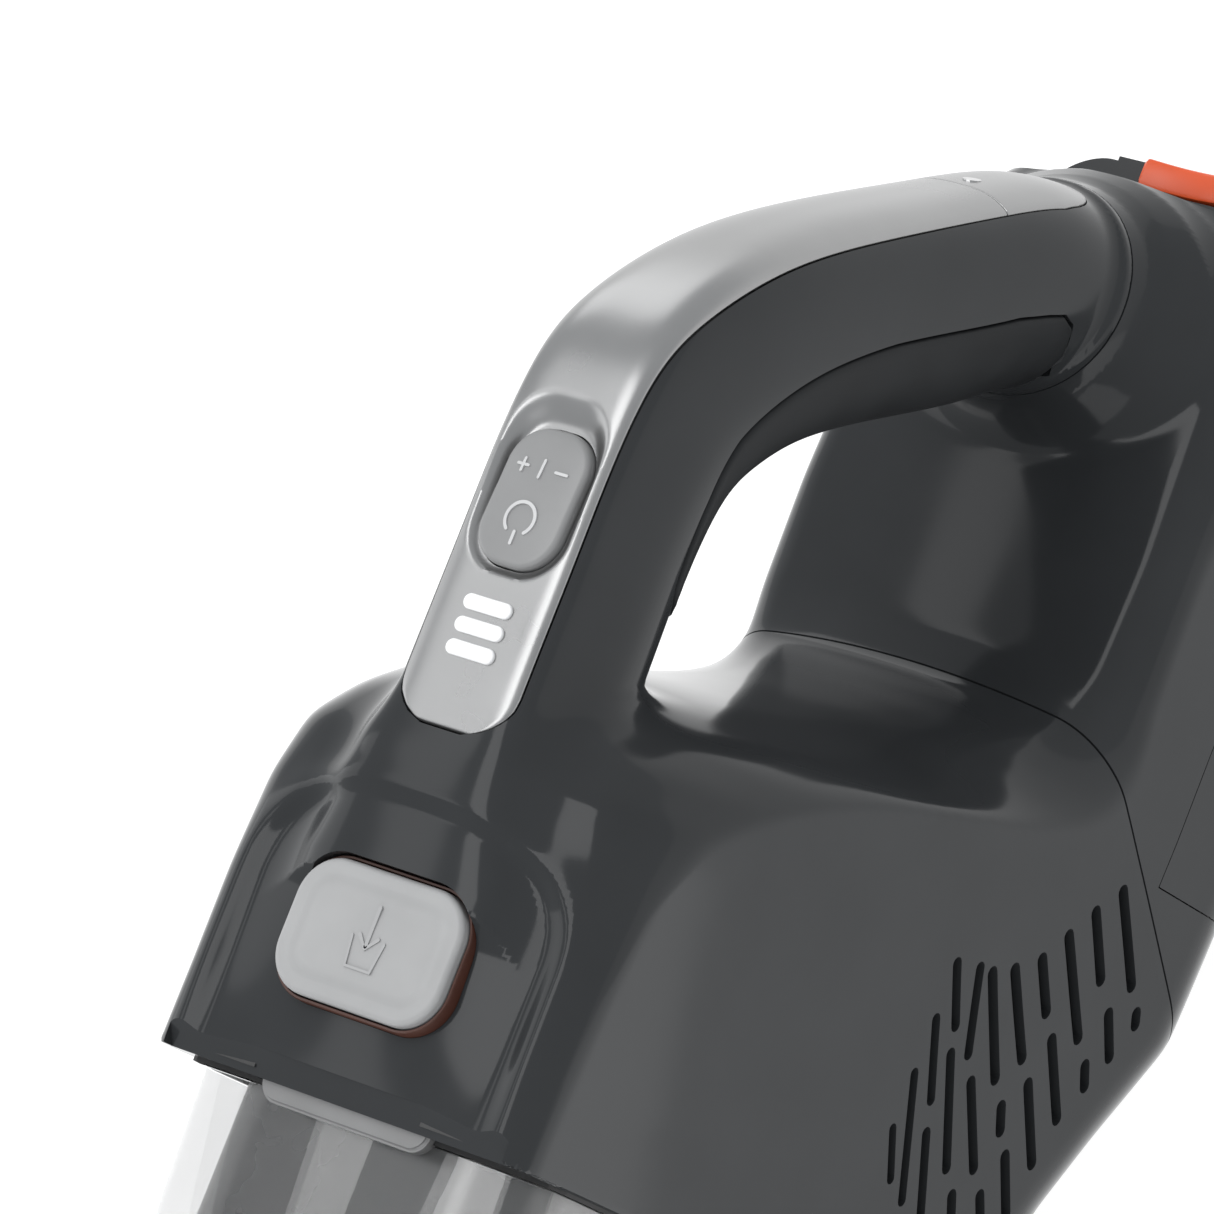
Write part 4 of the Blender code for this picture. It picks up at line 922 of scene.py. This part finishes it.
def power_face(x, y, height):
    return x, y, power_top(x, y) + 0.0001 + height


power = pad("power_button_skin", (0, POWER_Y), POWER_W, POWER_L, 0.0082,
            [(0.0, -0.0035), (0.0, -0.0016)] + arc_rim(0.0012, 0.0)
            + [(0.0022, 0.0001), (0.0038, 0.00015), (0.0060, 0.00018), (0.0080, 0.0002)], 14, power_top)
POWER_STROKES = {
    "ring": circle_points(0, 0.0600, 0.0034, -50, 230, 30),
    "bar": [(0, 0.0572), (0, 0.0548)],
    "plus_across": [(-0.0060, 0.0706), (-0.0034, 0.0706)],
    "plus_along": [(-0.0047, 0.0719), (-0.0047, 0.0693)],
    "divider": [(0, 0.0724), (0, 0.0688)],
    "minus": [(0.0034, 0.0706), (0.0060, 0.0706)],
}
power_icons = join("power_symbols", [
    path_solid(name, stroke, 0.0007 if name in ("ring", "bar") else 0.0006, 0.00035, power_face)
    for name, stroke in POWER_STROKES.items()])

panel = carve(panel, [plan_prism("power_opening", (0, POWER_Y), POWER_W + 0.0006, POWER_L + 0.0006, 0.0085,
                                 0.2200, 0.2400, 14)])

# ---------------------------------------------------------------- charge lights
LIGHT_PROFILE = ([(0.0, 0.2280), (0.0, STRUT_Z + 0.0001)] + arc_rim(0.0005, STRUT_Z + 0.0006, 4)
                 + [(0.0009, STRUT_Z + 0.00068), (0.0013, STRUT_Z + 0.0007)])
bars = [pad(f"bar_{k}", (0, 0.0372 + 0.0047 * k), 0.0118, 0.0032, 0.00158, LIGHT_PROFILE, 8)
        for k in (-1, 0, 1)]
lights = join("charge_lights_skin", bars + [
    box_mesh("light_base", (-0.0080, 0.0300, 0.2262), (0.0080, 0.0444, 0.2284))])

# ---------------------------------------------------------------- empty button and its surround
# inset and depth below the rim, from the rim into the dished field
EMPTY_DISH = [(0.0022, -0.00005), (0.0031, 0.0), (0.0036, 0.00012), (0.0044, 0.00042), (0.0052, 0.00068),
              (0.0060, 0.00078), (0.0075, 0.00072), (0.0095, 0.00062), (0.0120, 0.00056), (0.0136, 0.00055)]
empty = pad("empty_button_skin", (0, EMPTY_Y), EMPTY_W, EMPTY_L, 0.0092,
            [(0.0, BUTTON_TOP - 0.0068), (0.0, BUTTON_TOP - 0.0016)] + arc_rim(0.0013, BUTTON_TOP)
            + [(inset, BUTTON_TOP - depth) for inset, depth in EMPTY_DISH], 14)


def empty_face(x, y, height):
    return x, y, BUTTON_TOP - 0.00068 + height


EMPTY_STROKES = {
    "bin": [(-0.0040, -0.0262), (-0.0031, -0.0322), (0.0031, -0.0322), (0.0040, -0.0262)],
    "arrow_shaft": [(0, -0.0196), (0, -0.0276)],
    "arrow_head": [(-0.0023, -0.0256), (0, -0.0281), (0.0023, -0.0256)],
}
empty_icon = join("empty_symbol", [
    path_solid(name, stroke, 0.0007 if name == "bin" else 0.0008, 0.00042, empty_face)
    for name, stroke in EMPTY_STROKES.items()])
TRIM_PROFILE = [(0.0, 0.2195), (0.0, 0.2262), (0.0002, 0.2266), (0.0006, 0.2266), (0.00075, 0.2262),
                (0.00075, 0.2195)]
trim = ring_pad("button_trim_skin", (0, EMPTY_Y), EMPTY_W + 0.0020, EMPTY_L + 0.0020, 0.0102,
                TRIM_PROFILE, 14)

# ---------------------------------------------------------------- catch
CATCH_OUTLINE = [(-0.0614, 0.2118), (-0.0614, 0.2156), (-0.0560, 0.2161), (-0.0400, 0.2166),
                 (-0.0160, 0.2166), (-0.0160, 0.2140), (-0.0400, 0.2140), (-0.0420, 0.2105),
                 (-0.0500, 0.2105), (-0.0520, 0.2118)]
catch = side_prism("bowl_catch_skin", CATCH_OUTLINE, -0.0215, 0.0215)
catch = carve(catch, [plan_prism("catch_corners", (0, -0.0362), 0.0428, 0.0500, 0.0045, 0.2000, 0.2300)],
              "INTERSECT")
rounded = bmesh.new()
rounded.from_mesh(catch.data)
sharp = [edge for edge in rounded.edges if edge.is_manifold and edge.calc_face_angle(0) > 0.6]
bmesh.ops.bevel(rounded, geom=sharp, offset=0.0007, segments=3, affect="EDGES", clamp_overlap=True)
rounded.to_mesh(catch.data)
rounded.free()

# ---------------------------------------------------------------- clear bowl and what shows inside it
bowl = lofted("dust_bowl_skin",
              [section_ring(y, bowl_at, 0.0) for y in np.linspace(BOWL_FRONT, BOWL_BACK, 56)])
# the hollow takes its sections from 2 mm further forward, which leaves a wall at the nose too
hollow = [section_ring(y, bowl_at, BOWL_WALL, min(-0.0020, BOWL_BACK - y))
          for y in np.linspace(-0.1975, -0.0540, 54)]
bowl = carve(bowl, [lofted("bowl_hollow", hollow),
                    front_prism("mouth", round_rect(0.0712, 0.0386, 0.0040), -0.2120, 0.0220, 0.0222)])

KNUCKLE_WEB = [(-0.0600, 0.0240), (-0.0590, 0.0365), (-0.0700, 0.0340), (-0.0660, 0.0270)]
bowl = carve(bowl, [rod("knuckle", -0.0215, 0.0215, HINGE_Y, HINGE_Z, 0.0050)], "UNION")
bowl = carve(bowl, [side_prism("knuckle_web", KNUCKLE_WEB, -0.0215, 0.0215)], "UNION")

SHROUD_W, SHROUD_H, SHROUD_Z = 0.0748, 0.1390, 0.1365
SHROUD_EDGE = [(0.0, -0.0563), (0.0, -0.0885), (0.0002, -0.0893), (0.0008, -0.0899), (0.0016, -0.0900)]
shroud = lofted("filter_shroud_skin", [
    [(x, y, SHROUD_Z + z)
     for x, z in round_rect(SHROUD_W - 2 * inset, SHROUD_H - 2 * inset, 0.0140 - inset, 10)]
    for inset, y in SHROUD_EDGE])
inside = round_rect(SHROUD_W - 0.0048, SHROUD_H - 0.0048, 0.0116)
shroud = carve(shroud, [front_prism("shroud_hollow", inside, -0.0876, 0.0400, SHROUD_Z)])
shroud = carve(shroud, [
    front_prism(f"shroud_slot_{k}", round_rect(0.0520, 0.0080, 0.0039), -0.1000, 0.0150, 0.0925 + 0.0220 * k)
    for k in range(5)])

# ---------------------------------------------------------------- release tab of the battery
TAB_HALF, TAB_FRONT, TAB_BACK, TAB_LOW, TAB_HIGH = 0.0105, 0.1938, 0.2004, 0.0400, 0.0588


def release_ring(x):
    """Section of the tab, whose top dips towards its middle."""
    edge = 0.0006 * (1 - min(1, (TAB_HALF - abs(x)) / 0.0008)) ** 2
    z_top = TAB_HIGH - 0.0016 * (1 - (x / TAB_HALF) ** 2) - edge
    side = [(0.0, TAB_LOW), (0.0, z_top - 0.0010), (0.0003, z_top - 0.0003), (0.0010, z_top)]
    front = [(x, TAB_FRONT + edge + inset, z) for inset, z in side]
    back = [(x, TAB_BACK - edge - inset, z) for inset, z in side]
    return front + back[::-1]


release = lofted("battery_release_skin", [release_ring(x) for x in np.linspace(-TAB_HALF, TAB_HALF, 33)])
battery = carve(battery, [box_mesh("release_seat", (-0.0108, 0.1935, 0.0360), (0.0108, BEHIND, 0.0640)),
                          box_mesh("cell_tray", (-0.0345, 0.0560, 0.0030), (0.0345, 0.1840, 0.0430)),
                          box_mesh("lid_seat", (-0.0365, 0.0540, 0.0426), (0.0365, 0.1860, 0.0500))])
shade_from(battery, body)

for obj in (panel, cap, grip, power, power_icons, lights, empty, empty_icon, trim, catch, bowl, shroud,
            release):
    smooth_by_angle(obj, 38)


# ---------------------------------------------------------------- materials
def new_material(name):
    mat = bpy.data.materials.new(name)
    mat.use_nodes = True
    return mat, mat.node_tree.nodes, mat.node_tree.links, mat.node_tree.nodes["Principled BSDF"]


def drifting_colour(nodes, links, shader, scale, detail, positions, dark, light):
    """Noise between two near colours, on the base colour; gives the noise and its coordinates."""
    place = nodes.new("ShaderNodeTexCoord")
    noise = nodes.new("ShaderNodeTexNoise")
    noise.inputs["Scale"].default_value = scale
    noise.inputs["Detail"].default_value = detail
    links.new(place.outputs["Object"], noise.inputs["Vector"])
    ramp = nodes.new("ShaderNodeValToRGB")
    for stop, position, colour in zip(ramp.color_ramp.elements, positions, (dark, light)):
        stop.position, stop.color = position, (*colour, 1)
    links.new(noise.outputs["Fac"], ramp.inputs["Fac"])
    links.new(ramp.outputs["Color"], shader.inputs["Base Color"])
    return noise, place


def moulded(name, dark, light, rough, scale, grain=0.0, grain_scale=2500.0, cloud=3.0, **sockets):
    """Plastic, metal or paint: drifting colour and gloss, and a fine grain in the surface."""
    mat, nodes, links, shader = new_material(name)
    wide, place = drifting_colour(nodes, links, shader, scale, cloud, (0.3, 0.7), dark, light)
    gloss = nodes.new("ShaderNodeMapRange")
    gloss.inputs["From Min"].default_value, gloss.inputs["From Max"].default_value = 0.3, 0.7
    gloss.inputs["To Min"].default_value, gloss.inputs["To Max"].default_value = rough
    links.new(wide.outputs["Fac"], gloss.inputs["Value"])
    links.new(gloss.outputs["Result"], shader.inputs["Roughness"])
    if grain:
        fine = nodes.new("ShaderNodeTexNoise")
        fine.inputs["Scale"].default_value = grain_scale
        fine.inputs["Detail"].default_value = 2.0
        links.new(place.outputs["Object"], fine.inputs["Vector"])
        bump = nodes.new("ShaderNodeBump")
        bump.inputs["Strength"].default_value = grain
        bump.inputs["Distance"].default_value = 0.0001
        links.new(fine.outputs["Fac"], bump.inputs["Height"])
        links.new(bump.outputs["Normal"], shader.inputs["Normal"])
    for socket, value in sockets.items():
        shader.inputs[socket.replace("_", " ")].default_value = value
    return mat


def shade(level, blue=0.0):
    return (level, level * (1 + blue * 0.5), level * (1 + blue))


HOUSING = moulded("housing_grey", shade(0.026, 0.12), shade(0.029, 0.12), (0.10, 0.13), 40,
                  Specular_IOR_Level=0.18)
GRIP = moulded("soft_grip", shade(0.014, 0.14), shade(0.018, 0.14), (0.52, 0.60), 90, 0.25, 3200,
               Specular_IOR_Level=0.14)
SILVER = moulded("satin_silver", shade(0.28), shade(0.31), (0.27, 0.31), 45, 0.05, 5200, Metallic=0.85)
POWER_GREY = moulded("power_grey", shade(0.23), shade(0.25), (0.34, 0.40), 70, 0.05, 4000)
BUTTON = moulded("button_grey", shade(0.32), shade(0.35), (0.42, 0.48), 60, 0.06, 4200)
SYMBOL = moulded("symbol_grey", shade(0.34), shade(0.36), (0.42, 0.48), 60)
BRIGHT_SYMBOL = moulded("power_symbol_grey", shade(0.52), shade(0.56), (0.35, 0.42), 60)
CATCH_GREY = moulded("catch_grey", shade(0.17), shade(0.20), (0.34, 0.40), 60, 0.05, 4000, Metallic=0.3)
TRIM = moulded("trim_brown", (0.050, 0.014, 0.007), (0.070, 0.020, 0.010), (0.40, 0.50), 80)
LIGHT = moulded("light_white", shade(0.88), shade(0.93), (0.22, 0.28), 80)
ORANGE = moulded("signal_orange", (0.72, 0.085, 0.016), (0.78, 0.10, 0.020), (0.34, 0.40), 60, 0.04, 4000)
INNER = moulded("inner_black", shade(0.020), shade(0.026), (0.45, 0.55), 70, 0.1, 2600)
RUBBER = moulded("black_rubber", shade(0.014), shade(0.020), (0.70, 0.80), 90, 0.2, 2600)
FOAM = moulded("foam_black", shade(0.010), shade(0.024), (0.85, 0.95), 900, 0.9, 1400, 5.0)
STEEL = moulded("steel", shade(0.50), shade(0.58), (0.26, 0.34), 120, 0.05, 3000, Metallic=1.0)
ALLOY = moulded("motor_alloy", shade(0.40), shade(0.48), (0.32, 0.40), 110, 0.1, 2400, Metallic=1.0)
IMPELLER = moulded("impeller_alloy", (0.58, 0.57, 0.55), (0.66, 0.65, 0.63), (0.25, 0.32), 90, 0.05, 2600,
                   Metallic=1.0)
BOARD = moulded("board_green", (0.012, 0.085, 0.028), (0.018, 0.110, 0.036), (0.35, 0.45), 300, 0.1, 1800)
CELL_WRAP = moulded("cell_wrap", (0.030, 0.150, 0.380), (0.040, 0.180, 0.430), (0.28, 0.36), 80)
PAPER = moulded("filter_paper", (0.66, 0.65, 0.58), (0.76, 0.75, 0.68), (0.85, 0.95), 600, 0.5, 1500, 5.0)
SHROUD = moulded("shroud_grey", shade(0.10), shade(0.12), (0.26, 0.30), 50, Metallic=0.75)
CLEAR = moulded("clear_plastic", shade(0.80), shade(0.83), (0.01, 0.02), 40,
                Transmission_Weight=1.0, IOR=1.50)

LOOKS = {
    INNER: ("battery_lid", "fan_shroud", "filter_frame", "inlet_duct", "power_switch", "terminal_block"),
    RUBBER: ("bowl_gasket", "inlet_flap", "motor_mount"),
    STEEL: ("bowl_hinge_pin", "catch_pin", "catch_spring", "motor_shaft", "panel_screw"),
    FOAM: ("exhaust_screen_left", "exhaust_screen_right"),
    ALLOY: ("motor_can",),
    IMPELLER: ("impeller",),
    BOARD: ("circuit_board",),
    PAPER: ("pleated_filter",),
    CELL_WRAP: tuple(f"battery_cell_{k}" for k in range(1, 6)),
}
for look, names in LOOKS.items():
    for name in names:
        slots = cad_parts[name].data.materials
        slots.clear()
        slots.append(look)

PIECES = [
    (main, HOUSING, "housing_grey", "body", ("main_housing",)),
    (tail_shell, HOUSING, "housing_grey", "body", ("rear_housing",)),
    (battery, HOUSING, "housing_grey", "battery", ("battery_case",)),
    (panel, SILVER, "satin_silver", "body", ("power_panel",)),
    (cap, SILVER, "satin_silver", "body", ("panel_end_cap",)),
    (grip, GRIP, "soft_grip", "body", ("grip_insert",)),
    (power, POWER_GREY, "power_grey", "power_key", ("power_button",)),
    (power_icons, BRIGHT_SYMBOL, "satin_silver", "power_key", ()),
    (lights, LIGHT, "light_white", "body", ("charge_lights",)),
    (empty, BUTTON, "button_grey", "empty_key", ("empty_button",)),
    (empty_icon, SYMBOL, "button_grey", "empty_key", ()),
    (trim, TRIM, "trim_brown", "body", ("button_trim",)),
    (catch, CATCH_GREY, "catch_grey", "catch", ("bowl_catch",)),
    (bowl, CLEAR, "clear_plastic", "bowl", ("dust_bowl",)),
    (shroud, SHROUD, "inner_black", "body", ("filter_shroud",)),
    (release, ORANGE, "signal_orange", "release_key", ("battery_release",)),
]
for obj, look, slot_name, rides, nodes_replaced in PIECES:
    obj.data.materials.clear()
    obj.data.materials.append(look)
    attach(obj, rides)
    if nodes_replaced:
        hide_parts(*nodes_replaced)

# ---------------------------------------------------------------- floor, light and camera
floor = mesh_object("floor", [(-4, -4, 0), (4, -4, 0), (4, 4, 0), (-4, 4, 0)], [(0, 1, 2, 3)])
floor_look, nodes, links, shader = new_material("floor_white")
place = drifting_colour(nodes, links, shader, 2.0, 2.0, (0.0, 1.0), shade(0.28), shade(0.30))[1]
shader.inputs["Roughness"].default_value = 0.9
shader.inputs["Specular IOR Level"].default_value = 0.0
shader.inputs["Emission Color"].default_value = (1, 1, 1, 1)


def calculate(operation, *values):
    """Math node of the floor's material; each value is a number or another node's output."""
    node = nodes.new("ShaderNodeMath")
    node.operation = operation
    for socket, value in zip(node.inputs, values):
        if isinstance(value, (int, float)):
            socket.default_value = value
        else:
            links.new(value, socket)
    return node.outputs["Value"]


# the floor shines more to the right of a slanting line and in front of a straight one, which gives the
# object's right side its broad pale reflection
parts = nodes.new("ShaderNodeSeparateXYZ")
links.new(place.outputs["Object"], parts.inputs["Vector"])
slanting = calculate("MULTIPLY_ADD", parts.outputs["Y"], -0.288, -0.1812)
right = calculate("GREATER_THAN", calculate("ADD", slanting, parts.outputs["X"]), 0.0)
ahead = calculate("LESS_THAN", parts.outputs["Y"], 0.0215)
glow = calculate("MULTIPLY_ADD", calculate("MULTIPLY", right, ahead), 0.9, 0.92)
links.new(glow, shader.inputs["Emission Strength"])
floor.data.materials.append(floor_look)

scene = bpy.context.scene
world = bpy.data.worlds.new("studio")
scene.world = world
world.use_nodes = True
world.node_tree.nodes["Background"].inputs["Color"].default_value = (0.80, 0.82, 0.84, 1)
world.node_tree.nodes["Background"].inputs["Strength"].default_value = 0.95
scene.view_settings.view_transform = "Standard"


def softbox(name, direction, distance, width, height, brightness):
    """Soft light with its height along Y where it hangs above, and upright where it stands beside."""
    light = bpy.data.lights.new(name, "AREA")
    light.shape = "RECTANGLE"
    light.size, light.size_y = width, height
    light.energy = brightness * math.pi * width * height
    obj = bpy.data.objects.new(name, light)
    z = Vector(direction).normalized()
    y = Vector((0, 1, 0)) if z.z > 0.6 else Vector((0, 0, 1))
    x = y.cross(z).normalized()
    y = z.cross(x)
    obj.matrix_world = (Matrix.Translation(Vector((0, 0, 0.12)) + z * distance)
                        @ Matrix((x, y, z)).transposed().to_4x4())
    scene.collection.objects.link(obj)


softbox("top_right", (-0.17, 0.10, 0.95), 1.6, 0.60, 1.5, 3.6)
softbox("top_middle", (-0.56, 0.10, 0.83), 1.7, 0.22, 1.5, 2.0)
softbox("left", (-1.0, -0.1, 0.35), 2.0, 1.0, 1.4, 1.2)
softbox("back_left", (-0.58, 0.80, 0.12), 2.2, 1.0, 0.9, 1.7)
softbox("front", (0.35, -1.0, 0.55), 2.2, 1.6, 1.2, 1.2)

RIGHT = Vector((0.77740553, 0.36406941, -0.512927))
UP = Vector((-0.23355563, 0.92424404, 0.30203429))
BACK = Vector((0.584, -0.115, 0.8035)).normalized()
camera_data = bpy.data.cameras.new("camera")
camera_data.lens, camera_data.sensor_width = 222.405, 36.0
camera_data.clip_start, camera_data.clip_end = 0.1, 20.0
camera = bpy.data.objects.new("camera", camera_data)
turn = Matrix((RIGHT, UP, BACK)).transposed().to_4x4()
camera.matrix_world = Matrix.Translation((0.861557, -0.116009, 1.381272)) @ turn
scene.collection.objects.link(camera)
scene.camera = camera
